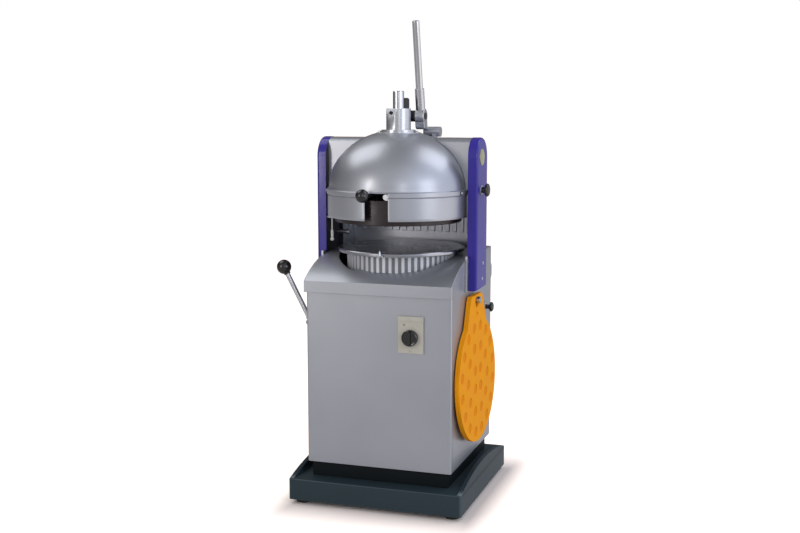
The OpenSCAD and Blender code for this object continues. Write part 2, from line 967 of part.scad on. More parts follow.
module bearing_housing() {
    color(DARK)
        at_head()
            difference() {
                union() {
                    translate([0, 0, house_z])
                        cylinder(r = main_r + 32, h = house_h);
                    translate([0, 0, house_z])
                        cylinder(r = main_r + 62, h = 10);
                }
                translate([0, 0, house_z - 1])
                    cylinder(r = main_r + 13 + run, h = house_h + 2);
            }
}

module shaft_bearings() {
    color(STEEL)
        at_head()
            for (z = [house_z + 2, house_z + house_h - 20])
                tube(main_r + run, main_r + 13, z, z + 18);
}

// Motor body with a terminal box, bored for its shaft
module motor() {
    color(DARK)
        translate([0, motor_y, motor_top])
            difference() {
                union() {
                    translate([0, 0, -motor_h])
                        cylinder(r = motor_r, h = motor_h);
                    box([-motor_r - 28, -35, -150], [-20, 35, -60]);
                }
                translate([0, 0, -120])
                    cylinder(r = shaft_r + run, h = 121);
            }
}

// Outline of a loop round both pulleys, moved out by g
module belt_outline(g) {
    r1 = big_r + g;
    r2 = small_r + g;
    s = (r1 - r2) / belt_span;
    c = sqrt(1 - s * s);
    circle(r = r1);
    translate([0, belt_span])
        circle(r = r2);
    polygon([[r1 * c, r1 * s], [r2 * c, belt_span + r2 * s], [-r2 * c, belt_span + r2 * s], [-r1 * c, r1 * s]]);
}

module drive_belt() {
    color(BLACK)
        at_head()
            translate([0, 0, pulley_z + flange_h + 1])
                linear_extrude(belt_w)
                    difference() {
                        belt_outline(belt_t);
                        belt_outline(loose);
                    }
}

// Main shaft with its crank web and the eccentric pin
module eccentric_shaft() {
    color(STEEL)
        at_head()
            union() {
                translate([0, 0, pulley_z - 6])
                    cylinder(r = main_r, h = web_z - pulley_z + 7);
                translate([0, 0, web_z])
                    cylinder(r = main_r + 30, h = web_h);
                translate([orbit, 0, web_z + web_h - 1])
                    cylinder(r = ecc_r, h = 26);
            }
}

// Pulley of radius r with two flanges and a bore
module flat_pulley(r, bore) {
    difference() {
        union() {
            cylinder(r = r, h = pulley_h);
            cylinder(r = r + belt_t - 1, h = flange_h);
            translate([0, 0, pulley_h - flange_h])
                cylinder(r = r + belt_t - 1, h = flange_h);
        }
        if (bore > 0)
            translate([0, 0, -1])
                cylinder(r = bore, h = pulley_h + 2);
    }
}

module driven_pulley() {
    color(DARK)
        at_head()
            translate([0, 0, pulley_z])
                difference() {
                    flat_pulley(big_r, main_r + run);
                    for (a = [0:60:300])
                        rotate([0, 0, a])
                            translate([big_r * 0.58, 0, -1])
                                cylinder(r = big_r * 0.18, h = pulley_h + 2);
                }
}

module motor_pulley() {
    color(STEEL)
        translate([0, motor_y, pulley_z])
            union() {
                flat_pulley(small_r, 0);
                translate([0, 0, motor_top - pulley_z - 110])
                    cylinder(r = shaft_r, h = pulley_z - motor_top + 111);
            }
}

// Everything on the table's own axis, one orbit radius right of the head's axis
module at_table() {
    translate([orbit, head_y, 0])
        children();
}

module table_disc() {
    color(STEEL)
        at_table()
            union() {
                translate([0, 0, table_z])
                    rotate_extrude()
                        polygon([[0, 0], [table_r - 2, 0], [table_r, 2], [table_r, table_t - 3],
                            [table_r - 3, table_t], [0, table_t]]);
                box([-13, -table_r - 16, table_z], [13, 10 - table_r, table_z + 6]);
            }
}

// Ring under the table with upright flutes
module fluted_ring() {
    color(WHITE)
        at_table()
            difference() {
                tube(flute_r - flute_wall, flute_r, flute_z, table_z);
                for (i = [0:flute_n - 1])
                    rotate([0, 0, i * 360 / flute_n])
                        translate([flute_r - flute_deep, -flute_w / 2, flute_z - 1])
                            cube([flute_deep + 5, flute_w, flute_h - 5]);
            }
}

// Boss under the table, bored for the eccentric pin, with four ribs out to the ring
module table_hub() {
    z0 = web_z + web_h + 2;
    color(DARK)
        at_table()
            difference() {
                union() {
                    translate([0, 0, z0])
                        cylinder(r = ecc_r + 30, h = table_z - z0);
                    for (a = [0:90:270])
                        rotate([0, 0, a])
                            box([ecc_r + 20, -6, table_z - 24], [flute_r - flute_wall - seam, 6, table_z]);
                }
                translate([0, 0, z0 - 1])
                    cylinder(r = ecc_r + run, h = 28);
            }
}

module locating_pin() {
    color(STEEL)
        at_table()
            translate([0, -table_r - 8, table_z + 6])
                cylinder(r1 = 6, r2 = 2, h = pin_h);
}

// Rod with a rack milled in its rear side
module piston_rod() {
    p = PI * gear_m;
    k = tan(20);
    lash = 0.16;
    color(STEEL)
        difference() {
            at_head()
                union() {
                    translate([0, 0, plate_top + 4])
                        cylinder(r = rod_r, h = rod_top - plate_top - 6);
                    translate([0, 0, rod_top - 2])
                        cylinder(r1 = rod_r, r2 = rod_r - 2, h = 2);
                }
            box([-30, head_y + rack_off + gear_m - 0.4, pivot_z - 3 * p], [30, head_y + 60, rod_top + 1]);
            for (i = [-2:floor((rod_top - pivot_z) / p)])
                along_x(-30, 30)
                    translate([head_y + rack_off, pivot_z + i * p])
                        polygon([[-1.25 * gear_m, -p / 4 - lash + 1.25 * gear_m * k],
                            [gear_m + 2, -p / 4 - lash - (gear_m + 2) * k],
                            [gear_m + 2, p / 4 + lash + (gear_m + 2) * k],
                            [-1.25 * gear_m, p / 4 + lash - 1.25 * gear_m * k]]);
        }
}

// Boss round the rod's foot with four arms that carry the press ring
module head_spider() {
    color(DARK)
        at_head()
            difference() {
                union() {
                    translate([0, 0, plate_top])
                        cylinder(r = spider_r, h = spider_top - plate_top);
                    for (a = [45:90:315])
                        rotate([0, 0, a])
                            box([spider_r - 5, -12, press_top], [press_r - 2, 12, press_top + arm_t]);
                }
                translate([0, 0, plate_top + 4])
                    cylinder(r = rod_r + run, h = 200);
            }
}

module press_ring() {
    color([0.13, 0.07, 0.09])
        at_head()
            tube(press_r - press_wall, press_r, press_z, press_top);
}

// Pattern of ring and radial blades of thickness t
module blades(t) {
    edge = press_r - press_wall - 3;
    difference() {
        circle(r = knife_r1 + t / 2);
        circle(r = knife_r1 - t / 2);
    }
    difference() {
        circle(r = knife_r2 + t / 2);
        circle(r = knife_r2 - t / 2);
    }
    for (a = [0:90:270])
        rotate(a)
            translate([0, -t / 2])
                square([knife_r1, t]);
    for (i = [0:9])
        rotate(i * 36)
            translate([knife_r1, -t / 2])
                square([knife_r2 - knife_r1, t]);
    for (i = [0:15])
        rotate(i * 22.5)
            translate([knife_r2, -t / 2])
                square([edge - knife_r2, t]);
}

// Places of the four rods that push the knives
module push_places() {
    for (a = [20:90:290])
        rotate([0, 0, a])
            translate([0, -knife_r1, 0])
                children();
}

// Disc with slots for the blades and holes for the knives' rods
module press_plate() {
    color(WHITE)
        at_head()
            difference() {
                translate([0, 0, plate_z])
                    cylinder(r = press_r - press_wall - 1, h = plate_t);
                translate([0, 0, plate_z - 1])
                    linear_extrude(slot_depth + 1)
                        blades(knife_t + 2 * knife_gap);
                push_places()
                    translate([0, 0, plate_z - 1])
                        cylinder(r = 5 + run, h = plate_t + 2);
            }
}

// Stud on a lug above the press ring, seen through the dome's notch
module catch_stud() {
    x = notch_right + 31;
    y = -sqrt(press_r * press_r - x * x);
    color(STEEL)
        at_head()
            union() {
                box([x - 9, y + 2, press_top], [x + 9, y + 12, press_top + 24]);
                translate([x, y + 3, press_top + 13])
                    rotate([90, 0, 0])
                        cylinder(r = 10, h = 20);
            }
}

// Blade lattice with four rods up to a ring
module knife_set() {
    z0 = plate_z + 1;
    color(STEEL)
        at_head()
            union() {
                translate([0, 0, z0])
                    linear_extrude(knife_h)
                        blades(knife_t);
                push_places()
                    translate([0, 0, z0 + 4])
                        cylinder(r = 5, h = knife_ring_z + 5 - z0 - 4);
                tube(knife_r1 - 10, knife_r1 + 10, knife_ring_z, knife_ring_z + 10);
            }
}

// Ring round the spider's boss with an arm out through the dome's notch
module latch_arm() {
    color(STEEL)
        at_head()
            rotate([0, 0, latch_angle])
                difference() {
                    union() {
                        translate([0, 0, latch_z])
                            cylinder(r = spider_r + 13, h = latch_h);
                        box([-6, -latch_reach + latch_ball_r - 4, latch_z], [6, -spider_r - 5, latch_z + latch_h]);
                    }
                    translate([0, 0, latch_z - 1])
                        cylinder(r = spider_r + run, h = latch_h + 2);
                }
}

module latch_ball() {
    color(BLACK)
        at_head()
            rotate([0, 0, latch_angle])
                translate([0, -latch_reach, latch_z + latch_h / 2])
                    difference() {
                        sphere(r = latch_ball_r);
                        box([-6 - run, latch_ball_r - 4 - run, -latch_h / 2 - run],
                            [6 + run, latch_ball_r + 20, latch_h / 2 + run]);
                    }
}

// Children placed on the lever's axis, with Z along the lever at rest
module on_lever() {
    translate([boss_x + boss_w / 2, pivot_y, pivot_z])
        rotate([lever_lean, 0, 0])
            children();
}

// Round boss with the socket of the lever's tube
module lever_boss() {
    color(STEEL)
        difference() {
            union() {
                on_lever()
                    along_x(-boss_w / 2, boss_w / 2) {
                        circle(boss_r);
                        polygon([[-tail_w / 2, boss_r + 1], [-tail_w / 2, tail_cut - boss_tail],
                            [tail_cut - tail_w / 2, -boss_tail], [tail_w / 2 - tail_cut, -boss_tail],
                            [tail_w / 2, tail_cut - boss_tail], [tail_w / 2, boss_r + 1]]);
                    }
                on_lever()
                    translate([0, 0, 10])
                        cylinder(r = socket_r, h = socket_len - 10);
            }
            bar_x(boss_x - 5, boss_x + boss_w + 9, shaft_r + run, pivot_y, pivot_z);
            on_lever()
                translate([0, 0, boss_r + 3])
                    cylinder(r = tube_r + run, h = socket_len);
        }
}

function inv_a(r, rb) = sqrt(max(0, r * r / (rb * rb) - 1)) * 180 / PI - acos(min(1, rb / r));

// Points of one tooth's flank from root to tip, on side s
function flank(s, rb, r0, r1, w) = [for (i = [0:5]) let (r = r0 + (r1 - r0) * i / 5)
    [r * cos(s * (w - inv_a(r, rb))), r * sin(s * (w - inv_a(r, rb)))]];

function rev(v) = [for (i = [len(v) - 1:-1:0]) v[i]];

// Gear sector with involute teeth on the lever's shaft
module sector_gear() {
    rb = gear_r * cos(20);
    half = 90 / gear_n - 0.1 + inv_a(gear_r, rb);
    root = gear_r - 1.25 * gear_m;
    tip = gear_r + gear_m;
    n = ceil(gear_n / 4) + 1;
    color(BLACK)
        union() {
            translate([-gear_w / 2, pivot_y, pivot_z])
                rotate([90, 0, 90])
                    linear_extrude(gear_w)
                        union() {
                            for (i = [-1:n])
                                rotate(180 - i * 360 / gear_n)
                                    polygon(concat([[root - 3, -4.2]],
                                        flank(-1, rb, max(root, rb), tip, half),
                                        rev(flank(1, rb, max(root, rb), tip, half)), [[root - 3, 4.2]]));
                            intersection() {
                                circle(r = root);
                                polygon([[0, -12], [-90, -24], [-90, 90], [24, 90], [12, 0]]);
                            }
                            circle(r = shaft_r + 10);
                        }
            bar_x(-case_w - 6, shaft_x, shaft_r, pivot_y, pivot_z);
        }
}

module lever_tube() {
    color(STEEL)
        on_lever()
            translate([0, 0, boss_r + 3.5])
                union() {
                    cylinder(r = tube_r, h = tube_len - boss_r - 5.5);
                    translate([0, 0, tube_len - boss_r - 5.5])
                        cylinder(r1 = tube_r, r2 = tube_r - 2, h = 2);
                }
}

// Shaft through the left panel with its hub and the leaning rod
module rounding_lever() {
    color(STEEL)
        union() {
            bar_x(round_x - 12, 90 - half_w, round_r, round_py, round_z);
            bar_x(round_x - 12, -half_w - 5, round_r + 7, round_py, round_z);
            box([60 - half_w, round_py - 8, round_z - 70], [80 - half_w, round_py + 8, round_z + 5]);
            translate([round_x, round_py, round_z])
                rotate([0, -round_lean, 0])
                    cylinder(r = round_r, h = round_len - round_ball_r + 8);
        }
}

module rounding_ball() {
    color(BLACK)
        translate([round_x, round_py, round_z])
            rotate([0, -round_lean, 0])
                difference() {
                    translate([0, 0, round_len])
                        sphere(r = round_ball_r);
                    cylinder(r = round_r + run, h = round_len - round_ball_r + 8.1);
                }
}

// Round knob with a raised grip, on a stem through plate and panel
module switch_knob() {
    y = front_y - switch_t - 1;
    color(BLACK)
        translate([switch_x, y, switch_z])
            rotate([90, 0, 0])
                union() {
                    cylinder(r = switch_knob_r, h = switch_knob_h - 8);
                    translate([0, 0, switch_knob_h - 8])
                        cylinder(r1 = switch_knob_r, r2 = switch_knob_r - 3, h = 3);
                    box([-5, -switch_knob_r + 5, switch_knob_h - 6], [5, switch_knob_r - 5, switch_knob_h]);
                    translate([0, 0, -switch_t - 8])
                        cylinder(r = 5, h = switch_t + 9);
                }
}

// Paddle-shaped plate with round recesses, hung askew by its hole, x0 being its inner face there
module mould_plate(x0) {
    top = hole_drop;
    mid = hole_drop - neck_h;
    foot = mid + mould_r * 0.7;
    wide = neck_w / 2 + neck_flare * (top - 14 - foot);
    color(ORANGE)
        difference() {
            translate([x0, peg_y, hole_z])
                rotate([0, -hang_lean, -hang_turn])
                    difference() {
                        union() {
                            bar_x(0, mould_t, mould_r, 0, mid);
                            along_x(0, mould_t)
                                polygon([[-wide, foot], [-neck_w / 2, top - 14], [14 - neck_w / 2, top],
                                    [neck_w / 2 - 14, top], [neck_w / 2, top - 14], [wide, foot]]);
                        }
                        bar_x(-1, mould_t + 1, 6.5, 0, mid + table_r + 8);
                        for (k = [[0.2, 4], [0.52, 10], [0.84, 16]])
                            for (i = [0:k[1] - 1])
                                bar_x(mould_t - recess_h, mould_t + 5, recess_d / 2,
                                    mould_r * k[0] * sin((i + 0.5) * 360 / k[1]),
                                    mid + mould_r * k[0] * cos((i + 0.5) * 360 / k[1]));
                    }
            bar_x(x0 - 20, x0 + mould_t + 20, hole_r, peg_y, hole_z);
        }
}

module inner_plate() {
    mould_plate(mould_x);
}

module outer_plate() {
    mould_plate(mould_x + mould_t + seam);
}

// Mushroom knob along X: stem from x0, head of radius r ending at x1
module pull_knob(x0, x1, r, stem, y, z) {
    bar_x(x0, x1 - 12, stem, y, z);
    translate([x1 - 14, y, z])
        rotate([0, 90, 0])
            rotate_extrude()
                polygon([[0, 0], [r - 4, 0], [r, 4], [r, 9], [r - 5, 13], [0, 14]]);
}

module column_knob() {
    color(BLACK)
        pull_knob(col_x - 14, col_x + 30, col_knob_r, 11, knob_y, knob_z);
}

module cabinet_knob() {
    color(BLACK)
        pull_knob(half_w - 24, half_w + 32, cab_knob_r, 8.5, cab_knob_y, cab_knob_z);
}

base_casting();
rubber_feet();
plinth();
chassis_frame();
front_panel();
left_side_panel();
right_side_panel();
rear_panel();
rear_rail();
top_cover();
rear_wall();
left_post();
right_post();
left_column_cover();
right_column_cover();
column_strips();
cover_screws();
column_badge();
yoke_beam();
head_hood();
dome_cover();
piston_guide();
gear_cover();
spring_drum();
stop_pin();
stop_block();
hanging_rod();
switch_plate();
plate_peg();
control_bushes();
machine_deck();
bearing_housing();
shaft_bearings();
motor();
drive_belt();
eccentric_shaft();
driven_pulley();
motor_pulley();
table_disc();
fluted_ring();
table_hub();
locating_pin();
piston_rod();
head_spider();
press_ring();
press_plate();
catch_stud();
knife_set();
latch_arm();
latch_ball();
lever_boss();
sector_gear();
lever_tube();
rounding_lever();
rounding_ball();
switch_knob();
inner_plate();
outer_plate();
column_knob();
cabinet_knob();
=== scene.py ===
# %% [markdown]
# # A divider rounder, dressed for its portrait
# A baker lays dough under the dome, pulls the long lever down to press and cut it, and a
# motor then swings the round table so that each piece is rolled into a ball. The packed
# model already has every piece at its true size. This lesson gives the pieces smooth
# surfaces, rounded rims and finishes, and never moves one of them. Sizes come from the
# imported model's own boxes wherever a box shows them.

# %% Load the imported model
import json
import math

import bmesh
import bpy
import numpy as np
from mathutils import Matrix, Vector

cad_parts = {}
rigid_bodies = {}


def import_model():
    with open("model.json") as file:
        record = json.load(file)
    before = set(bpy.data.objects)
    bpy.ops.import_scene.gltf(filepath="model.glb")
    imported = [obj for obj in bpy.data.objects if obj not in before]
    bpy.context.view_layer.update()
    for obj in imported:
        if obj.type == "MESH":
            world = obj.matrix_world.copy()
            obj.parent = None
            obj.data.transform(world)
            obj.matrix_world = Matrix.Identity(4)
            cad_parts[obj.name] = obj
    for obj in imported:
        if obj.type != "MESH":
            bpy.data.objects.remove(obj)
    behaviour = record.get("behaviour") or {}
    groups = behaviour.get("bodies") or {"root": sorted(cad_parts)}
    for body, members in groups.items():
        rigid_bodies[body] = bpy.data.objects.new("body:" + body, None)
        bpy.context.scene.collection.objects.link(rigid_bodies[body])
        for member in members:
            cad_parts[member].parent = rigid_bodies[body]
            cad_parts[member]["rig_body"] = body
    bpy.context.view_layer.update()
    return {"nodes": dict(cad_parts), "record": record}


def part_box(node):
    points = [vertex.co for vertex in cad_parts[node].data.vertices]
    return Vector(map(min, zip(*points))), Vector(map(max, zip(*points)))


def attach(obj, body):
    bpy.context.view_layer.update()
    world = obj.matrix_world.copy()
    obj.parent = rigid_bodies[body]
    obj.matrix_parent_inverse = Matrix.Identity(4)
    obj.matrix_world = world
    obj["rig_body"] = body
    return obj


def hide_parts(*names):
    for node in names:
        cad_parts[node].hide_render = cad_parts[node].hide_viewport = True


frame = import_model()
NODES = frame["nodes"]
SLOT = {s["node"]: s["material_slot"] for s in frame["record"]["subparts"]}
MM = 0.001
scene = bpy.context.scene


def corners(node):
    """Lowest and highest corner of a node's box in mm, rounded to a tenth."""
    return np.round(np.array(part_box(node)) / MM, 1)


def middle(node):
    """Middle of a node's box in mm: half the sum of its two corners."""
    return corners(node).mean(0)


# %% [markdown]
# ## The camera
# The photograph was taken from the right of the machine and a little above the press head.
# The place, the two angles and the lens below were fitted to edges whose sizes are known,
# so that the render can be laid over the photograph.

# %% Camera
CAMERA_AT = (1.314655, -4.001681, 1.393132)
TURN_LEFT = math.radians(18.269)
LOOK_DOWN = math.radians(7.782)
FOCAL_MM = 52.806
lens = bpy.data.cameras.new("portrait_camera")
lens.sensor_fit = "HORIZONTAL"
lens.sensor_width = 36.0
lens.lens = FOCAL_MM
camera = bpy.data.objects.new("portrait_camera", lens)
camera.location = CAMERA_AT
camera.rotation_euler = (math.pi / 2 - LOOK_DOWN, 0.0, TURN_LEFT)
scene.collection.objects.link(camera)
scene.camera = camera
scene.view_settings.view_transform = "Standard"
print("camera at", tuple(round(x, 3) for x in camera.location), "lens", lens.lens)

# %% [markdown]
# ## Colours and nodes
# Colours are written as they are read off a screen, in sRGB, and the shader wants linear
# light, so one function turns them. Three more join outputs to sockets, add a node that is
# set and joined, and feed a shader, which keeps each finish short enough to read.

# %% Colour and node helpers
def linear(code):
    """sRGB hex to linear RGBA: v / 12.92 below 0.04045, else ((v + 0.055) / 1.055) ** 2.4."""
    v = np.array([int(code[i:i + 2], 16) for i in (1, 3, 5)]) / 255
    return (*np.where(v < 0.04045, v / 12.92, ((v + 0.055) / 1.055) ** 2.4), 1.0)


def join(tree, node, links):
    """Join outputs to a node's sockets by name or number; a node stands for its first output."""
    for socket, output in links.items():
        first = output.outputs[0] if hasattr(output, "outputs") else output
        tree.links.new(first, node.inputs[socket])


def put(tree, kind, values=None, links=None):
    """Add one node; values sets properties and sockets by name or number, links joins outputs to sockets."""
    node = tree.nodes.new("ShaderNode" + kind)
    for key, value in (values or {}).items():
        if isinstance(key, str) and hasattr(node, key):
            setattr(node, key, value)
        else:
            node.inputs[key].default_value = value
    join(tree, node, links or {})
    return node


def feed(tree, shader, **outputs):
    """Join outputs to a shader's sockets; Base_Color stands for the socket Base Color."""
    join(tree, shader, {socket.replace("_", " "): output for socket, output in outputs.items()})


FINISH = {}


def finish(slot, name, **sockets):
    """Start a material for a slot; returns its tree, its shader and its Object coordinates in metres."""
    material = bpy.data.materials.new(name)
    material.use_nodes = True
    tree = material.node_tree
    tree.nodes.clear()
    shader = put(tree, "BsdfPrincipled", {k.replace("_", " "): v for k, v in sockets.items()})
    put(tree, "OutputMaterial", links={"Surface": shader})
    FINISH[slot] = material
    print("finish", name)
    return tree, shader, put(tree, "TexCoord").outputs["Object"]

# %% [markdown]
# ## The studio
# The machine stands on a white sweep in a white room. A room that is white all round would
# make bright paint and chrome look flat, so only the camera and glass see it white. Every
# other ray sees it pale blue on the right and dim on the left, with some light from the
# front, and a black board at the back left keeps that corner dark.

# %% Room
LEFT_LEVEL = 0.22
RIGHT_LEVEL = 1.3
FRONT_LEVEL = 0.48
room = bpy.data.worlds.new("studio_room")
scene.world = room
room.use_nodes = True
tree = room.node_tree
tree.nodes.clear()
path = put(tree, "LightPath")
look = put(tree, "SeparateXYZ", links={0: put(tree, "TexCoord").outputs["Generated"]})
side = put(tree, "MapRange", {"From Min": 0.1, "From Max": 0.95, "To Min": LEFT_LEVEL, "To Max": RIGHT_LEVEL,
                              "interpolation_type": "SMOOTHSTEP"}, {"Value": look.outputs["X"]})
front = put(tree, "MapRange", {"From Min": -0.1, "From Max": -0.9, "To Min": 0.0, "To Max": FRONT_LEVEL,
                               "interpolation_type": "SMOOTHSTEP"}, {"Value": look.outputs["Y"]})
dim = put(tree, "Math", {"operation": "ADD"}, {0: side, 1: front})
print("room from", LEFT_LEVEL, "on the left to", RIGHT_LEVEL, "on the right")

# %% Black board at the back left
BOARD_LEVEL = 0.1
minus_x = put(tree, "Math", {"operation": "MULTIPLY", 1: -1.0}, {0: look.outputs["X"]})
back_left = put(tree, "Math", {"operation": "MINIMUM"}, {0: look.outputs["Y"], 1: minus_x})
board = put(tree, "MapRange", {"From Min": 0.12, "From Max": 0.3, "To Min": 1.0, "To Max": BOARD_LEVEL},
            {"Value": back_left})
slope = put(tree, "Math", {"operation": "ABSOLUTE"}, {0: look.outputs["Z"]})
past_board = put(tree, "MapRange", {"From Min": 0.2, "From Max": 0.4}, {"Value": slope})
board = put(tree, "Math", {"operation": "MAXIMUM"}, {0: board, 1: past_board})
dim = put(tree, "Math", {"operation": "MULTIPLY"}, {0: dim, 1: board})
print("board at", BOARD_LEVEL, "of the room's light")

# %% Room as it is seen
tint = put(tree, "Mix", {"data_type": "RGBA", 6: linear("#fffaf6"), 7: linear("#e4ebfb")}, {0: side})
seen = put(tree, "Math", {"operation": "MAXIMUM"},
           {0: path.outputs["Is Camera Ray"], 1: path.outputs["Is Transmission Ray"]})
level = put(tree, "Mix", {"data_type": "FLOAT", 3: 1.0}, {0: seen, 2: dim})
colour = put(tree, "Mix", {"data_type": "RGBA", 7: (1.0, 1.0, 1.0, 1.0)}, {0: seen, 6: tint.outputs[2]})
light = put(tree, "Background", links={"Color": colour.outputs[2], "Strength": level})
put(tree, "OutputWorld", links={"Surface": light})
print("room", room.name, len(tree.nodes), "nodes")

# %% [markdown]
# The floor is one large sheet, and the kind of ray decides what it shows. Mirrors see it
# dim, but bright far out on the right, and brighter still in a wedge far out at the front
# left: that wedge is the pale band on the left column. The camera sees warm matt paper close
# to the base and plain white further away. The white glow fades out towards the base, so the
# lamps' own shadow shows there, and the fade, stretched to the front and shifted to the
# right, also paints a shadow round the base.

# %% Floor for mirrors
FAR = 60
ground = bpy.data.meshes.new("floor")
ground.from_pydata([(-FAR, -FAR, 0), (FAR, -FAR, 0), (FAR, FAR, 0), (-FAR, FAR, 0)], [], [(0, 1, 2, 3)])
floor = bpy.data.objects.new("floor", ground)
scene.collection.objects.link(floor)
sweep = bpy.data.materials.new("white_sweep")
sweep.use_nodes = True
tree = sweep.node_tree
tree.nodes.clear()
path = put(tree, "LightPath")
place = put(tree, "TexCoord").outputs["Object"]
spot = put(tree, "SeparateXYZ", links={0: place})
off_axis = put(tree, "Math", {"operation": "ABSOLUTE"}, {0: spot.outputs["Y"]})
right = put(tree, "Math", {"operation": "MULTIPLY_ADD", 1: -1.2}, {0: off_axis, 2: spot.outputs["X"]})
paper = put(tree, "MapRange", {"From Min": 0.8, "From Max": 2.5, "To Min": 0.2, "To Max": 1.1,
                               "interpolation_type": "SMOOTHSTEP"}, {"Value": right})
left = put(tree, "Math", {"operation": "MULTIPLY", 1: -1.0}, {0: spot.outputs["X"]})
near_side = put(tree, "Math", {"operation": "MULTIPLY_ADD", 1: 0.3}, {0: spot.outputs["Y"], 2: left})
far_side = put(tree, "Math", {"operation": "MULTIPLY_ADD", 1: -0.62},
               {0: spot.outputs["Y"], 2: spot.outputs["X"]})
wedge = put(tree, "Math", {"operation": "MINIMUM"}, {0: near_side, 1: far_side})
band = put(tree, "MapRange", {"From Min": 0.0, "From Max": 3.1, "To Min": 0.0, "To Max": 4.0,
                              "interpolation_type": "SMOOTHSTEP"}, {"Value": wedge})
paper = put(tree, "Math", {"operation": "ADD"}, {0: paper, 1: band})
mirrored = put(tree, "Math", {"operation": "MAXIMUM"},
               {0: path.outputs["Is Glossy Ray"], 1: path.outputs["Is Transmission Ray"]})
glow = put(tree, "Math", {"operation": "MULTIPLY"}, {0: mirrored, 1: paper})
print("floor", 2 * FAR, "m wide")

# %% Floor for the camera
PAINTED_SHADOW_WIDE = 0.2
SIDE_SHARE = 2.5
PAINTED_SHADOW_RIGHT = 0.02
WHITE_FILL = 0.75
half_x, half_y = (corners("base_casting")[1] * MM)[:2]
apart = place
for operation, by in (("ADD", (-PAINTED_SHADOW_RIGHT, 0, 0)), ("ABSOLUTE", (0, 0, 0)),
                      ("SUBTRACT", (half_x, half_y, 0)), ("MAXIMUM", (0, 0, 0)),
                      ("MULTIPLY", (SIDE_SHARE, 1, 0)), ("LENGTH", (0, 0, 0))):
    apart = put(tree, "VectorMath", {"operation": operation, 1: by}, {0: apart})
# Near the base the white fill fades out: a painted shadow, wider in front than at the sides and shifted to
# the right.
fill = put(tree, "MapRange", {"From Min": 0.0, "From Max": PAINTED_SHADOW_WIDE, "To Min": 0.0, "To Max": WHITE_FILL},
           {"Value": apart.outputs["Value"]})
glow = put(tree, "Math", {"operation": "MULTIPLY_ADD"},
           {0: path.outputs["Is Camera Ray"], 1: fill, 2: glow})
glow = put(tree, "Emission", {"Color": linear("#fff6ef")}, {"Strength": glow})
tone = put(tree, "Mix", {"data_type": "RGBA", 6: (0.5, 0.5, 0.5, 1.0), 7: (0.85, 0.77, 0.73, 1.0)},
           {0: path.outputs["Is Camera Ray"]})
matt = put(tree, "BsdfDiffuse", links={"Color": tone.outputs[2]})
both = put(tree, "AddShader", links={0: matt, 1: glow})
put(tree, "OutputMaterial", links={"Surface": both})
ground.materials.append(sweep)
print("floor", sweep.name, "with a shadow", PAINTED_SHADOW_WIDE, "m wide in front")

# %% [markdown]
# Five soft boxes light the machine. The two large ones above leave a soft patch each on the
# dome's shoulders. A tall one at the front left and a small one at the front lift the front
# panels, and one on the right lifts the side. Each is turned towards the machine's middle
# line.

# %% Lamps
def soft_box(name, place, aim_height, size, power, tint):
    """Area lamp at a place: its -Z axis follows the line to a point of the middle line."""
    data = bpy.data.lights.new(name, "AREA")
    data.shape = "RECTANGLE"
    data.size, data.size_y = size
    data.energy = power
    data.color = linear(tint)[:3]
    lamp = bpy.data.objects.new(name, data)
    lamp.location = place
    way = Vector((0.0, 0.0, aim_height)) - Vector(place)
    lamp.rotation_euler = way.to_track_quat("-Z", "Y").to_euler()
    scene.collection.objects.link(lamp)
    print("lamp", name, power, "W")


soft_box("front_left_box", (-2.25, -3.9, 1.8), 1.1, (0.6, 2.1), 30, "#fffaf6")
soft_box("upper_left_box", (-2.3, 0.2, 4.2), 1.0, (2.6, 2.6), 42, "#ffffff")
soft_box("front_box", (1.9, -4.3, 1.9), 0.95, (0.5, 0.5), 7, "#fbfcff")
soft_box("right_box", (3.4, -1.6, 1.7), 0.8, (1.6, 1.6), 16, "#f6f8ff")
soft_box("upper_right_box", (2.3, 1.3, 4.2), 1.0, (2.6, 2.6), 38, "#f6f8ff")

# %% [markdown]
# ## Finishes
# ### Paint
# Most of the machine is sheet steel under paint. Silver paint has fine flakes under a clear
# coat, the columns have a plain gloss enamel, and the cast base has a thicker satin coat.
# A sprayed coat is never quite flat, so each one gets a shallow orange peel. Flakes are a
# twentieth of a millimetre and wouldn't show, so they are drawn about 2 mm wide.

# %% Painted metal
CLOUD_WIDE = 0.25
FLAKE_WIDE = 0.0022


def paint(slot, name, light_tone, dark_tone, flake, peel_mm, peel, rough, **sockets):
    """Two tones in soft clouds, flakes that vary them by a share, and an orange peel of peel_mm."""
    tree, shader, where = finish(slot, name, **sockets)
    cloud = put(tree, "TexNoise", {"Scale": 1 / CLOUD_WIDE, "Detail": 3.0}, {"Vector": where})
    tone = put(tree, "Mix", {"data_type": "RGBA", 6: linear(dark_tone), 7: linear(light_tone)}, {0: cloud})
    grain = put(tree, "TexNoise", {"Scale": 1 / FLAKE_WIDE, "Detail": 1.0}, {"Vector": where})
    spread = put(tree, "MapRange", {"From Min": 0.3, "From Max": 0.7,
                                    "To Min": 1 - flake, "To Max": 1 + flake}, {"Value": grain})
    colour = put(tree, "Mix", {"data_type": "RGBA", "blend_type": "MULTIPLY", 0: 1.0},
                 {6: tone.outputs[2], 7: spread})
    gloss = put(tree, "MapRange", {"To Min": rough - 0.05, "To Max": rough + 0.05}, {"Value": cloud})
    skin = put(tree, "TexNoise", {"Scale": 1000 / peel_mm, "Detail": 2.0}, {"Vector": where})
    bump = put(tree, "Bump", {"Strength": peel, "Distance": 0.0005}, {"Height": skin})
    feed(tree, shader, Base_Color=colour.outputs[2], Roughness=gloss, Normal=bump)
    return tree, shader, colour


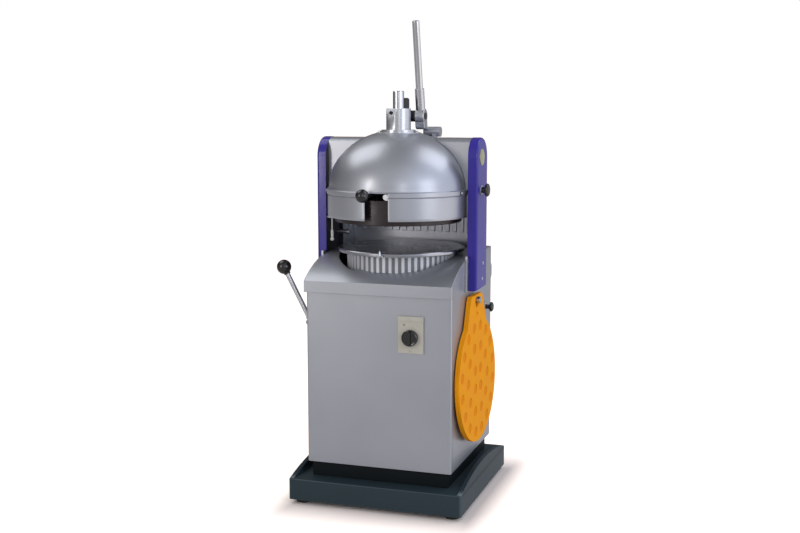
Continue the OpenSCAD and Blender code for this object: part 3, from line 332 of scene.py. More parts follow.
paint("silver_paint", "silver_metallic_paint", "#b0b3ba", "#a4a7af", 0.05, 7.0, 0.06, 0.36,
      Metallic=0.75, Coat_Weight=0.2, Coat_Roughness=0.12)
paint("purple_paint", "purple_gloss_enamel", "#34289a", "#2b1f8b", 0.02, 9.0, 0.05, 0.34,
      Specular_IOR_Level=0.25, Coat_Weight=0.42, Coat_Roughness=0.12)
paint("dark_paint", "dark_frame_paint", "#10171a", "#0a1013", 0.04, 4.0, 0.15, 0.5, Specular_IOR_Level=0.15)
paint("black_paint", "black_satin_paint", "#17171b", "#0f0f12", 0.03, 4.0, 0.12, 0.45)

# %% [markdown]
# The base is a casting. Its coat is rough like fine leather, and its outer edges are painted
# paler: partly the wear of a thin coat, partly a painted highlight where the edges catch the
# light. Pointiness is high on outer edges, so it finds those places.

# %% Base paint
tree, shader, colour = paint("base_paint", "slate_casting_paint", "#1a2d34", "#13242b", 0.05, 3.0, 0.25, 0.42,
                             Specular_IOR_Level=0.25)
# Paler outer edges: partly wear, partly a painted highlight.
edge = put(tree, "NewGeometry")
painted_light_mask = put(tree, "MapRange", {"From Min": 0.515, "From Max": 0.56, "To Min": 0.0, "To Max": 0.85},
           {"Value": edge.outputs["Pointiness"]})
edge_wear_and_highlight = put(tree, "Mix", {"data_type": "RGBA", 7: linear("#6c7b82")}, {0: painted_light_mask, 6: colour.outputs[2]})
feed(tree, shader, Base_Color=edge_wear_and_highlight.outputs[2])

# %% [markdown]
# ### Bare metal
# Chrome is a mirror with a faint haze of handling. Bright steel is ground, so it has fine
# scratches one way. The table is turned on a lathe, which leaves rings; they spread a
# reflection into two fans. The real rings are a few tenths of a millimetre apart and are
# drawn about 3 mm apart so that they show. A ring texture of scale s repeats every
# 2 pi / (20 s) metres.

# %% Chrome and ground steel
HAZE_WIDE = 0.03
tree, shader, where = finish("chrome", "hard_chrome", Base_Color=linear("#c9cbd0"), Metallic=1.0)
haze = put(tree, "TexNoise", {"Scale": 1 / HAZE_WIDE, "Detail": 4.0}, {"Vector": where})
rough = put(tree, "MapRange", {"To Min": 0.05, "To Max": 0.16}, {"Value": haze})
feed(tree, shader, Roughness=rough)

tree, shader, where = finish("bright_steel", "ground_bright_steel", Metallic=1.0)
long_way = put(tree, "Mapping", {"Scale": (60.0, 60.0, 900.0)}, {"Vector": where})
scratch = put(tree, "TexNoise", {"Scale": 1.0, "Detail": 3.0}, {"Vector": long_way})
tone = put(tree, "Mix", {"data_type": "RGBA", 6: linear("#a9acb2"), 7: linear("#ced0d5")}, {0: scratch})
rough = put(tree, "MapRange", {"To Min": 0.2, "To Max": 0.42}, {"Value": scratch})
bump = put(tree, "Bump", {"Strength": 0.08, "Distance": 0.0002}, {"Height": scratch})
feed(tree, shader, Base_Color=tone.outputs[2], Roughness=rough, Normal=bump)

# %% Turned steel of the table
ring_low, ring_high = corners("fluted_ring")
FLUTE_R = (ring_high[0] - ring_low[0]) / 2
TABLE_X, TABLE_Y, _ = middle("fluted_ring")
TURN_PITCH = 0.00296089
SMEAR_WIDE = 0.06
tree, shader, where = finish("polished_steel", "turned_stainless_steel", Metallic=1.0)
centred = put(tree, "Mapping", {"Location": (-TABLE_X * MM, -TABLE_Y * MM, 0.0)}, {"Vector": where})
rings = put(tree, "TexWave", {"wave_type": "RINGS", "rings_direction": "Z",
                              "Scale": 2 * math.pi / 20 / TURN_PITCH,
                              "Distortion": 0.6, "Detail": 2.0}, {"Vector": centred})
smear = put(tree, "TexNoise", {"Scale": 1 / SMEAR_WIDE, "Detail": 4.0}, {"Vector": centred})
tone = put(tree, "Mix", {"data_type": "RGBA", 6: linear("#8b8d95"), 7: linear("#b4b6bd")}, {0: smear})
rough = put(tree, "MapRange", {"To Min": 0.16, "To Max": 0.34}, {"Value": smear})
bump = put(tree, "Bump", {"Strength": 0.1, "Distance": 0.0003}, {"Height": rings.outputs["Fac"]})
feed(tree, shader, Base_Color=tone.outputs[2], Roughness=rough, Normal=bump)
print("table's middle at", TABLE_X, TABLE_Y, "mm, its ring", FLUTE_R, "mm in radius")

# %% [markdown]
# The fluted ring is cast aluminium, blasted pale. Its tone is painted darker towards the
# table's middle, a painted shade in its flutes. The round badge is an anodised disc with
# the same fine grit.

# %% Cast aluminium and the badge
FLUTE_DEPTH = 5
BLAST_PATCH = 0.05


def blasted(slot, name, light_tone, dark_tone, grit_mm, rough, metallic):
    """Two tones and a bump from grit of the given width: the look of a shot-blasted casting."""
    tree, shader, where = finish(slot, name, Metallic=metallic)
    grit = put(tree, "TexNoise", {"Scale": 1000 / grit_mm, "Detail": 3.0}, {"Vector": where})
    patch = put(tree, "TexNoise", {"Scale": 1 / BLAST_PATCH, "Detail": 2.0}, {"Vector": where})
    tone = put(tree, "Mix", {"data_type": "RGBA", 6: linear(dark_tone), 7: linear(light_tone)}, {0: patch})
    gloss = put(tree, "MapRange", {"To Min": rough - 0.06, "To Max": rough + 0.06}, {"Value": grit})
    bump = put(tree, "Bump", {"Strength": 0.12, "Distance": 0.0004}, {"Height": grit})
    feed(tree, shader, Base_Color=tone.outputs[2], Roughness=gloss, Normal=bump)
    return tree, shader, where, tone


blasted("badge_metal", "gold_anodised_badge", "#cfcda6", "#b9b78f", 1.2, 0.34, 0.7)
tree, shader, where, tone = blasted("cast_aluminium", "blasted_cast_aluminium", "#dcdee2", "#c6c9cf",
                                    1.5, 0.46, 0.35)
# Darker towards the table's middle: a painted shade in the flutes.
centred = put(tree, "Mapping", {"Location": (-TABLE_X * MM, -TABLE_Y * MM, 0.0), "Scale": (1.0, 1.0, 0.0)},
              {"Vector": where})
reach = put(tree, "VectorMath", {"operation": "LENGTH"}, {0: centred})
flute_shade = put(tree, "MapRange", {"From Min": (FLUTE_R - FLUTE_DEPTH) * MM, "From Max": (FLUTE_R - 0.5) * MM,
                              "To Min": 0.3, "To Max": 1.0}, {"Value": reach.outputs["Value"]})
flute_shaded_tone = put(tree, "Mix", {"data_type": "RGBA", "blend_type": "MULTIPLY", 0: 1.0},
             {6: tone.outputs[2], 7: flute_shade})
feed(tree, shader, Base_Color=flute_shaded_tone.outputs[2])

# %% [markdown]
# ### Rubber and plastics
# The feet are rubber, the balls and knobs polished phenolic resin, the press plate and the
# small stops white nylon, the switch plate a beige moulding with a fine spark-eroded skin,
# and the moulding plates orange polyethylene, which is waxy and gets dull scuffs. The press
# ring is aluminium under a dark, hard anodised skin, which takes the same small settings.

# %% Moulded materials
def moulded(slot, name, light_tone, dark_tone, patch_mm, grain_mm, grain, rough_low, rough_high, **sockets):
    """Tone in patches of patch_mm, roughness with them, and a skin of grains of grain_mm."""
    tree, shader, where = finish(slot, name, **sockets)
    patch = put(tree, "TexNoise", {"Scale": 1000 / patch_mm, "Detail": 4.0}, {"Vector": where})
    tone = put(tree, "Mix", {"data_type": "RGBA", 6: linear(dark_tone), 7: linear(light_tone)}, {0: patch})
    rough = put(tree, "MapRange", {"From Min": 0.3, "From Max": 0.7,
                                   "To Min": rough_low, "To Max": rough_high}, {"Value": patch})
    skin = put(tree, "TexNoise", {"Scale": 1000 / grain_mm, "Detail": 2.0}, {"Vector": where})
    bump = put(tree, "Bump", {"Strength": grain, "Distance": 0.0003}, {"Height": skin})
    feed(tree, shader, Base_Color=tone.outputs[2], Roughness=rough, Normal=bump)
    return tree, shader, where, tone


moulded("rubber_black", "moulded_rubber", "#1d1e20", "#121314", 20, 1.5, 0.3, 0.65, 0.85)
moulded("black_plastic", "polished_phenolic", "#131314", "#0a0a0b", 15, 4.0, 0.03, 0.1, 0.22, IOR=1.6)
moulded("white_plastic", "white_nylon", "#e9e9e4", "#dcdcd6", 40, 2.0, 0.08, 0.35, 0.5)
moulded("beige_plastic", "beige_moulding", "#c8c4b6", "#bcb8aa", 30, 1.2, 0.2, 0.42, 0.55)
moulded("dark_ring", "dark_anodised_aluminium", "#2a1a1d", "#180e11", 50, 3.0, 0.06, 0.25, 0.42)
tree, shader, where, tone = moulded("orange_plastic", "orange_polyethylene", "#fba818", "#f4980c",
                                    60, 2.5, 0.1, 0.5, 0.65, Specular_IOR_Level=0.08)
print(sorted(set(SLOT.values()) - set(FINISH)), "slots without a finish")

# %% [markdown]
# The shallow recesses of the outer plate are painted deeper orange, a painted shade for the
# shade in them. A recess is where the surface lies a little behind the plate's face, so its
# depth is measured along the plate's normal. The plate hangs 1.9 degrees turned and 1.3
# degrees leaned. The painted shade starts half a millimetre down, is full on a recess's floor
# and stops just below it, so that the plate's edge and back keep their own tone.

# %% Painted shade in the recesses of the moulding plate
HANG_TURN = math.radians(-1.9)
HANG_LEAN = math.radians(-1.3)
SHADE_FROM, SHADE_FULL, SHADE_UNTIL, SHADE_END = np.array([0.5, 1.3, 2.2, 2.6]) * MM
normal = np.array([math.cos(HANG_TURN) * math.cos(HANG_LEAN), math.sin(HANG_TURN) * math.cos(HANG_LEAN),
                   -math.sin(HANG_LEAN)])
plate_mesh = NODES["outer_plate"].data
spots = np.empty(len(plate_mesh.vertices) * 3)
plate_mesh.vertices.foreach_get("co", spots)
face_at = float((spots.reshape(-1, 3) @ normal).max())
along_normal = put(tree, "VectorMath", {"operation": "DOT_PRODUCT", 1: tuple(normal)}, {0: where})
sunk = put(tree, "MapRange", {"From Min": face_at - SHADE_FULL, "From Max": face_at - SHADE_FROM,
                              "To Min": 1.0, "To Max": 0.0}, {"Value": along_normal.outputs["Value"]})
above_end = put(tree, "MapRange", {"From Min": face_at - SHADE_END, "From Max": face_at - SHADE_UNTIL},
                {"Value": along_normal.outputs["Value"]})
painted_light_mask = put(tree, "Math", {"operation": "MULTIPLY"}, {0: sunk, 1: above_end})
# Deeper orange in the recesses: a painted shade.
recess_shade = put(tree, "Mix", {"data_type": "RGBA", 7: linear("#ec8c08")}, {0: painted_light_mask, 6: tone.outputs[2]})
feed(tree, shader, Base_Color=recess_shade.outputs[2])
print("plate face at", round(face_at / MM, 2), "mm along its normal")

# %% [markdown]
# ## Ways to make a surface
# A surface here is a grid of points, rows by columns. Turning a profile round an axis gives
# a grid, and so does laying rings of an outline above each other. A corner that no tool
# leaves sharp is cut off and joined by a parabola first.

# %% Lines
def soften(points, radius, steps=6, closed=False):
    """Round corners: cut both sides at t = radius / tan(half the angle), at most 45 % of a side,
    and join the cuts A and B round the corner P by (1-s)^2 A + 2 s (1-s) P + s^2 B."""
    p = np.asarray(points, float)
    a = np.roll(p, 1, 0) - p
    b = np.roll(p, -1, 0) - p
    a_long = np.linalg.norm(a, axis=1)
    b_long = np.linalg.norm(b, axis=1)
    a = a / a_long[:, None]
    b = b / b_long[:, None]
    half_angle = np.arccos(np.clip((a * b).sum(1), -1, 1)) / 2
    t = np.broadcast_to(radius, len(p)) / np.tan(np.maximum(half_angle, 1e-3))
    t = np.minimum(t, 0.45 * np.minimum(a_long, b_long))[:, None]
    s = np.linspace(0, 1, steps)[None, :, None]
    curve = (1 - s) ** 2 * (p + a * t)[:, None] + 2 * s * (1 - s) * p[:, None] + s ** 2 * (p + b * t)[:, None]
    if closed:
        return curve.reshape(-1, p.shape[1])
    return np.vstack([p[:1], curve[1:-1].reshape(-1, p.shape[1]), p[-1:]])


def rounded_box(low, high, radius, steps):
    """Closed rectangle between its lowest and highest corner, with its four corners rounded."""
    return soften([low, (high[0], low[1]), high, (low[0], high[1])], radius, steps, closed=True)


def inset(outline, distance):
    """Move a closed line inwards along the mitres m = (n1 + n2) / (1 + n1.n2) of its sides' normals."""
    d = np.roll(outline, -1, 0) - outline
    n = np.stack([d[:, 1], -d[:, 0]], 1) / np.linalg.norm(d, axis=1)[:, None]
    before = np.roll(n, 1, 0)
    return outline - distance * (before + n) / (1 + (before * n).sum(1))[:, None]

# %% Grids
ORDER = {"xy": [0, 1, 2], "yz": [2, 0, 1], "xz": [0, 2, 1]}
RIM_ROWS = 6


def turned(profile, origin, axis=(0, 0, 1), sides=96, angles=None):
    """Surface of revolution round an axis with the square directions u and v: a profile point of
    radius r and height h goes to origin + h axis + r (cos t u + sin t v)."""
    axis = np.asarray(axis, float) / np.linalg.norm(axis)
    u = np.cross([0, 1, 0] if abs(axis[1]) < 0.9 else [1, 0, 0], axis)
    u = u / np.linalg.norm(u)
    t = np.linspace(0, 2 * np.pi, sides, endpoint=False) if angles is None else angles
    ring = np.cos(t)[:, None] * u + np.sin(t)[:, None] * np.cross(axis, u)
    r, h = np.asarray(profile, float).T
    return np.asarray(origin, float) + h[:, None, None] * axis + r[:, None, None] * ring[None]


def slab(outline, low, high, rim_low, rim_high, plane):
    """Plate with rounded rims: at angle a a rim of radius e lies e (1 - sin a) inside the outline
    and e (1 - cos a) from the face."""
    outline = outline[np.linalg.norm(np.roll(outline, -1, 0) - outline, axis=1) > 1e-6]
    x, y = outline.T
    if (x * np.roll(y, -1) - np.roll(x, -1) * y).sum() < 0:
        outline = outline[::-1]
    a = np.linspace(0, np.pi / 2, RIM_ROWS)
    inside = np.concatenate([rim_low * (1 - np.sin(a)), rim_high * (1 - np.sin(a[::-1]))])
    height = np.concatenate([low + rim_low * (1 - np.cos(a)), high - rim_high * (1 - np.cos(a[::-1]))])
    flat = np.stack([inset(outline, i) for i in inside])
    tall = np.broadcast_to(height[:, None, None], flat.shape[:2] + (1,))
    return np.concatenate([flat, tall], -1)[..., ORDER[plane]]


def quads(rows, columns, around):
    """Corner numbers of the faces between neighbouring rows and columns, closed round if asked."""
    i = np.arange(rows - 1)[:, None] * columns
    j = np.arange(columns if around else columns - 1)[None]
    k = (j + 1) % columns
    return np.stack([i + j, i + k, i + columns + k, i + columns + j], -1).reshape(-1, 4)


print("a rounded rim has", RIM_ROWS, "rows")

# %% [markdown]
# A grid becomes a piece when it gets its faces, its finish and the body that it moves with,
# and the solids that it stands for are hidden. End rings are closed with one face each. A
# sheet is left open and gets its thickness from a Solidify modifier.

# %% Pieces
WELD = 2e-6


def settle(name, mesh, body, slot, stands_for, sharp):
    """Object with smooth shading but sharp edges above an angle, then finish, body and stand-in."""
    mesh.polygons.foreach_set("use_smooth", np.ones(len(mesh.polygons), bool))
    mesh.set_sharp_from_angle(angle=math.radians(sharp))
    mesh.materials.clear()
    mesh.materials.append(FINISH[slot])
    obj = bpy.data.objects.new(name, mesh)
    scene.collection.objects.link(obj)
    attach(obj, body)
    if stands_for:
        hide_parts(*stands_for)
    return obj


def piece(name, grids, body, slot, stands_for=(), caps=True, around=True, keep=None, wall=0.0, sharp=40):
    """Join grids of points in mm into one mesh of quads; keep is a test on face middles for cut-outs."""
    points_of, faces, start = [], [], 0
    for grid in grids:
        rows, columns = grid.shape[:2]
        q = quads(rows, columns, around)
        points = grid.reshape(-1, 3)
        if keep is not None:
            q = q[keep(points[q].mean(1))]
        faces += (q + start).tolist()
        if caps:
            faces += [np.arange(start, start + columns)[::-1].tolist(),
                      np.arange(start + (rows - 1) * columns, start + rows * columns).tolist()]
        points_of.append(points)
        start += rows * columns
    mesh = bpy.data.meshes.new(name)
    mesh.from_pydata((np.vstack(points_of) * MM).tolist(), [], faces)
    bm = bmesh.new()
    bm.from_mesh(mesh)
    bmesh.ops.remove_doubles(bm, verts=bm.verts, dist=WELD)
    if caps:
        bmesh.ops.recalc_face_normals(bm, faces=bm.faces)
    bm.to_mesh(mesh)
    bm.free()
    obj = settle(name, mesh, body, slot, stands_for, sharp)
    if wall:
        shell = obj.modifiers.new("wall", "SOLIDIFY")
        shell.thickness = wall * MM
        shell.offset = -1.0
        shell.use_even_offset = True
    flat = obj.modifiers.new("flat_faces", "WEIGHTED_NORMAL")
    flat.keep_sharp = True
    print("piece", name, len(mesh.polygons), "faces")

# %% [markdown]
# Where the solid already has the right shape, a copy of it is dressed: its loose triangles
# are merged, flat neighbours are joined, and a Bevel modifier rounds the rims. The copy
# matters, because the solid's own mesh stays as it was packed.

# %% Dressed copies
RIM_ANGLE = 35
RIM_STEPS = 3
FLAT_ANGLE = 0.4


def dressed(node, rim):
    """Copy of a node with its rims rounded to a width in mm wherever two faces meet above RIM_ANGLE."""
    source = NODES[node]
    mesh = source.data.copy()
    mesh.name = "dressed_" + node
    bm = bmesh.new()
    bm.from_mesh(mesh)
    bmesh.ops.remove_doubles(bm, verts=bm.verts, dist=WELD)
    bmesh.ops.dissolve_limit(bm, angle_limit=math.radians(FLAT_ANGLE), verts=bm.verts, edges=bm.edges)
    bm.to_mesh(mesh)
    bm.free()
    if "custom_normal" in mesh.attributes:
        mesh.attributes.remove(mesh.attributes["custom_normal"])
    obj = settle("dressed_" + node, mesh, source["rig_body"], SLOT[node], [node], RIM_ANGLE)
    round_rim = obj.modifiers.new("rims", "BEVEL")
    round_rim.width = rim * MM
    round_rim.segments = RIM_STEPS
    round_rim.limit_method = "ANGLE"
    round_rim.angle_limit = math.radians(RIM_ANGLE)
    flat = obj.modifiers.new("flat_faces", "WEIGHTED_NORMAL")
    flat.keep_sharp = True
    print("dressed", node, "with rims of", rim, "mm")

# %% [markdown]
# Solids that need no new surface, most of them inside the cabinet, keep their own mesh and
# only get their finish.

# %% Finishes on the solids
for name, node in NODES.items():
    node.data.materials.clear()
    node.data.materials.append(FINISH[SLOT[name]])
print("finishes on", len(NODES), "nodes")

# %% [markdown]
# ## The base and its feet
# The base is one heavy casting: a slab with narrow rounded rims, and on each flank a cheek
# whose top is an arc from corner to corner. A scaled cube would have no such rims, so rings
# of one outline are laid above each other, and the cheek's outline is carried sideways in
# the same way. With c for half the arc's chord and h for its rise, its radius is
# (c^2 / h + h) / 2.

# %% Base
base_low, base_high = corners("base_casting")
CHEEK_RISE, CHEEK_WALL, CHEEK_RIM, CHEEK_SUNK = 42, 16.25, 2, 7
BASE_CORNER, BASE_RIM = 8, 3
base_top = base_high[2] - CHEEK_RISE
run = base_high[1] - BASE_CORNER
arc_r = (run * run / CHEEK_RISE + CHEEK_RISE) / 2
arc_turn = np.linspace(1, -1, 41) * math.asin(run / arc_r)
arc = np.stack([arc_r * np.sin(arc_turn), base_high[2] - arc_r + arc_r * np.cos(arc_turn)], 1)
cheek_side = np.vstack([[(-run, base_top - CHEEK_SUNK), (run, base_top - CHEEK_SUNK)], arc])
cheek = slab(cheek_side, base_high[0] - CHEEK_WALL, base_high[0], CHEEK_RIM, CHEEK_RIM, "yz")
block = slab(rounded_box(base_low[:2], base_high[:2], BASE_CORNER, 10), base_low[2], base_top,
             BASE_RIM, BASE_RIM, "xy")
piece("base_body", [block, cheek, cheek * [-1, 1, 1]], "frame", "base_paint", ["base_casting"])

# %% [markdown]
# A foot is a turned rubber pad with a groove near its top, 40 mm in from the base's edges.

# %% Feet
FOOT_IN, FOOT_R, NECK_R, SOLE_R = 40, 28, 25.5, 25
foot_top = base_low[2]
pad = soften([(0, 0), (SOLE_R, 0), (FOOT_R, foot_top - 3), (NECK_R, foot_top - 2), (NECK_R, foot_top),
              (0, foot_top)], [0, 2, 1, 0.4, 0.4, 0], 4)
foot_x, foot_y = base_high[:2] - FOOT_IN
piece("foot_pads", [turned(pad, (x, y, 0), sides=48) for x in (-foot_x, foot_x) for y in (-foot_y, foot_y)],
      "frame", "rubber_black", ["rubber_feet"])

# %% [markdown]
# ## The cabinet
# The front is one sheet bent round both edges with a radius of 9 mm, so it is a path in plan
# carried upwards. Its top follows the underside of the curved cover, which is an arc seen
# from the side. The other panels, the cover, the rear wall and the rail keep their solids
# with rims rounded like folded sheet.

# %% Cabinet
panel_low, panel_high = corners("front_panel")
BEND_R, PANEL_WALL, PANEL_ROWS = 9, 2.5, 12
COVER_R, COVER_WALL, COVER_Y = 487, 3, -14
cover_z = corners("top_cover")[1][2] - COVER_R
bend = soften([(panel_low[0], panel_high[1]), panel_low[:2], (panel_high[0], panel_low[1]), panel_high[:2]],
              BEND_R, 9)
crest = cover_z + np.sqrt((COVER_R - COVER_WALL) ** 2 - (bend[:, 1] - COVER_Y) ** 2)
climb = panel_low[2] + np.linspace(0, 1, PANEL_ROWS)[:, None] * (crest - panel_low[2])
front_grid = np.concatenate([np.broadcast_to(bend, (PANEL_ROWS,) + bend.shape), climb[..., None]], -1)
piece("front_sheet", [front_grid], "frame", "silver_paint", ["front_panel"], caps=False, around=False,
      wall=PANEL_WALL)
for node, rim in (("left_side_panel", 0.8), ("right_side_panel", 0.8), ("rear_panel", 0.8),
                  ("rear_rail", 3.0), ("top_cover", 1.1), ("rear_wall", 1.2), ("plinth", 1.0)):
    dressed(node, rim)

# %% [markdown]
# A black strip closes the gap between each column and the front edge of the rear wall, a
# dark sheet put there for the shade in that gap. It is a rounded rectangle carried upwards,
# and the second is its mirror image.

# %% Dark strips for the shade in the gaps
STRIP_OUTER, STRIP_INNER, STRIP_DEEP, STRIP_CLEAR = 272, 255.4, 7.8, 0.2
strip_front = corners("left_column_cover")[1][1] + STRIP_CLEAR
strip_side = rounded_box((-STRIP_OUTER, strip_front), (-STRIP_INNER, strip_front + STRIP_DEEP), 1.2, 4)
wall_low, wall_high = corners("rear_wall")
shade_strip = slab(strip_side, wall_low[2] + 1, wall_high[2] - 1, 1, 1, "xy")
piece("gap_shade_strips", [shade_strip, shade_strip * [-1, 1, 1]], "frame", "rubber_black")

# %% [markdown]
# ## The columns
# Each column is a deep-drawn cover with a half-round top and a soft edge on its outer side.
# Its outline is drawn in side view and carried across; the last rings curl in to make the
# edge, and the inner side stays open towards the black post. On the right one the outer
# face ends at the hole of the pull knob.

# %% Columns
column_low, column_high = corners("right_column_cover")
COLUMN_WALL, COLUMN_EDGE, KNOB_HOLE = 2.4, 9, 11.6
knob_at = middle("column_knob")[1:]
crown_r = (column_high[1] - column_low[1]) / 2
crown_at = np.array([column_low[1] + crown_r, column_high[2] - crown_r])
crown = np.linspace(0, np.pi, 49)
column_side = np.vstack([[column_low[1:], (column_high[1], column_low[2])],
                         crown_at + crown_r * np.stack([np.cos(crown), np.sin(crown)], 1)])


def round_hole(ring, radius):
    """Ring of points at one radius round the knob's hole, in the directions of a ring outside it."""
    out = ring[:, 1:] - knob_at
    hole = ring.copy()
    hole[:, 1:] = knob_at + radius * out / np.linalg.norm(out, axis=1)[:, None]
    return hole[None]


outer = slab(column_side, column_low[0], column_high[0], 0, COLUMN_EDGE, "yz")[RIM_ROWS - 1:]
inner = slab(inset(column_side, COLUMN_WALL), column_low[0], column_high[0] - COLUMN_WALL,
             0, COLUMN_EDGE - COLUMN_WALL, "yz")[:RIM_ROWS - 2:-1]
for hand, name, hole_r in ((1, "right", KNOB_HOLE), (-1, "left", 0.0)):
    ends = [round_hole(inner[0], hole_r), round_hole(outer[-1], hole_r)]
    rows = [ends[0], inner, outer, ends[1]] + ([ends[0]] if hole_r else [])
    grid = np.concatenate(rows) * [hand, 1, 1]
    piece(name + "_cover", [grid[:, ::hand]], "frame", "purple_paint", [name + "_column_cover"], caps=False)
    dressed(name + "_post", 1.0)
dressed("column_strips", 1.2)

# %% [markdown]
# The badge on the right column is left plain: a thin disc with a raised rim. Screws have
# low round heads with a recess, and those on the dome sit on black washers. Two hexagon
# heads hold the flange on top of the dome.

# %% Badge and screws
badge_low, badge_high = corners("column_badge")
badge_r = (badge_high[1] - badge_low[1]) / 2
disc = soften([(0, 0), (badge_r, 0), (badge_r, 2), (badge_r - 2.5, 2), (badge_r - 3.5, 1.2), (0, 1.7)],
              [0, 0, 0.5, 0.4, 0.4, 0], 4)
piece("plain_badge", [turned(disc, (badge_low[0], *middle("column_badge")[1:]), (1, 0, 0), 64)],
      "frame", "badge_metal", ["column_badge"])


def screw(radius, high):
    """Profile of a low round head with a recess a third of its radius wide."""
    return soften([(0, 0), (radius, 0), (radius, 0.45 * high), (0.7 * radius, 0.92 * high),
                   (0.36 * radius, high), (0.34 * radius, 0.5 * high), (0, 0.5 * high)],
                  [0, 0, 0.1 * radius, 0.3 * radius, 0.05, 0.05, 0], 4)


COLUMN_SCREWS = ((13, 841), (4, 787))
PLATE_SCREWS = ((-273, 567), (-275, 678))
BEAD_R, BEAD_Z, BEAD_TURN, WASHER = 256, 1095.5, 76, 1.4
FLANGE_X, FLANGE_Z = 69, 1301.3
HEAD_Y = middle("press_ring")[1]
switch_x = middle("switch_plate")[0]
heads = [turned(screw(6, 3), (hand * column_high[0], y, z), (hand, 0, 0), 32)
         for hand in (-1, 1) for y, z in COLUMN_SCREWS]
heads += [turned(screw(3.5, 1.6), (switch_x, y, z), (0, -1, 0), 24) for y, z in PLATE_SCREWS]
washers = []
for turn in np.radians([-BEAD_TURN, BEAD_TURN]):
    way = np.array([np.sin(turn), -np.cos(turn), 0.0])
    foot = np.array([0, HEAD_Y, BEAD_Z]) + (BEAD_R + 0.1) * way
    heads.append(turned(screw(5, 3.6), foot + WASHER * way, way, 32))
    washers.append(turned([(0, 0), (7.4, 0), (7.4, 1.0), (6.9, 1.5), (0, 1.5)], foot, way, 32))
hexagon = [(0, 0), (6, 0), (6, 5), (5, 6), (0, 6)]
heads += [turned(hexagon, (x, HEAD_Y, FLANGE_Z), sides=6) for x in (-FLANGE_X, FLANGE_X)]
piece("screw_heads", heads, "frame", "bright_steel", ["cover_screws"])
piece("dome_washers", washers, "frame", "black_paint")

# %% [markdown]
# ## The dome
# The dome is spun from sheet: a straight skirt, a rolled bead, and most of a quarter ellipse
# up to the hub. It is a profile turned round the head's axis, with columns placed at the
# edges of the notch and of the slot for the gear case, so that leaving out faces cuts them
# clean.

# %% Dome profile
SKIRT_R, SKIRT_TOP, DOME_WALL = 252, 1083, 2.5
DOME_R, DOME_RISE, DOME_Z = 248, 203, 1107
skirt_low = corners("dome_cover")[0][2]
shoulder = np.radians(np.linspace(2.2, 71.5, 44))
ellipse = np.stack([DOME_R * np.cos(shoulder), DOME_Z + DOME_RISE * np.sin(shoulder)], 1)
bead = soften([(SKIRT_R, skirt_low), (SKIRT_R, SKIRT_TOP), (SKIRT_R - 0.8, SKIRT_TOP + 2),
               (BEAD_R, BEAD_Z - 7.5), (BEAD_R, BEAD_Z + 7.5), (DOME_R + 1.6, DOME_Z - 1.4), ellipse[0]],
              [0, 0.5, 0.5, 2.2, 2.2, 0.8, 0], 6)
straight = np.stack([np.full(9, float(SKIRT_R)), np.linspace(skirt_low, SKIRT_TOP - 2, 9)], 1)
dome_line = np.vstack([straight, bead[1:-1], ellipse])
print("dome profile", len(dome_line), "points")

# %% Dome with its cut-outs
NOTCH_LEFT, NOTCH_RIGHT, NOTCH_TOP = 39, 45, 1104.3
SLOT_HALF, SLOT_REACH = 7.1, 104
TURN = 2 * np.pi
notch = 1.5 * np.pi + np.array([-math.asin(NOTCH_LEFT / SKIRT_R), math.asin(NOTCH_RIGHT / SKIRT_R)])
slot = np.radians([90 - SLOT_HALF, 90 + SLOT_HALF])
round_angles = np.concatenate([np.linspace(notch[0], notch[1], 13)[:-1],
                               np.linspace(notch[1], slot[0] + TURN, 82)[:-1],
                               np.linspace(slot[0], slot[1], 9)[:-1] + TURN,
                               np.linspace(slot[1], notch[0], 82)[:-1] + TURN])


def dome_face(centre):
    """True for face middles outside the notch (angle and height) and the slot (angle and radius)."""
    x, y, z = centre.T
    angle = np.arctan2(y - HEAD_Y, x) % TURN
    in_notch = (angle > notch[0]) & (angle < notch[1]) & (z < NOTCH_TOP)
    in_slot = (angle > slot[0]) & (angle < slot[1]) & (np.hypot(x, y - HEAD_Y) < SLOT_REACH)
    return ~(in_notch | in_slot)


piece("dome_shell", [turned(dome_line, (0, HEAD_Y, 0), angles=round_angles)], "frame", "silver_paint",
      ["dome_cover"], caps=False, keep=dome_face, wall=DOME_WALL, sharp=50)

# %% [markdown]
# The hood, the hub with the steep flat on its front and the small parts on it keep their
# solids with rounded rims. A socket screw sits in the hub's flat.

# %% Head fittings
for node, rim in (("head_hood", 0.8), ("piston_guide", 1.2), ("gear_cover", 1.0), ("spring_drum", 1.5),
                  ("stop_block", 1.5), ("hanging_rod", 0.6), ("switch_plate", 1.6), ("plate_peg", 1.0),
                  ("control_bushes", 0.8), ("catch_stud", 1.0), ("latch_arm", 1.5), ("rounding_lever", 1.0),
                  ("head_spider", 1.5), ("inner_plate", 1.0), ("outer_plate", 1.0)):
    dressed(node, rim)
FLAT_TURN = math.radians(26)
FLAT_SLOPE = math.radians(66)
FLAT_OUT, FLAT_DOWN = 30, 15
hub_top = corners("piston_guide")[1][2]
out = np.array([-math.sin(FLAT_TURN), -math.cos(FLAT_TURN), 0.0])
square_to_flat = math.sin(FLAT_SLOPE) * out + math.cos(FLAT_SLOPE) * np.array([0, 0, 1.0])
down_flat = out / math.tan(FLAT_SLOPE) - [0, 0, 1]
on_flat = np.array([0, HEAD_Y, hub_top]) + FLAT_OUT * out + FLAT_DOWN * down_flat
cap_screw = soften([(0, -2), (6, -2), (6, 3.4), (3.2, 4), (3.0, 1), (0, 1)], [0, 0, 0.8, 0.1, 0.1, 0], 4)
piece("hub_screw", [turned(cap_screw, on_flat, square_to_flat, 32)], "frame", "black_paint")
pin_low, pin_high = corners("stop_pin")
pin_long = pin_high[0] - pin_low[0]
pin_r = (pin_high[1] - pin_low[1]) / 2
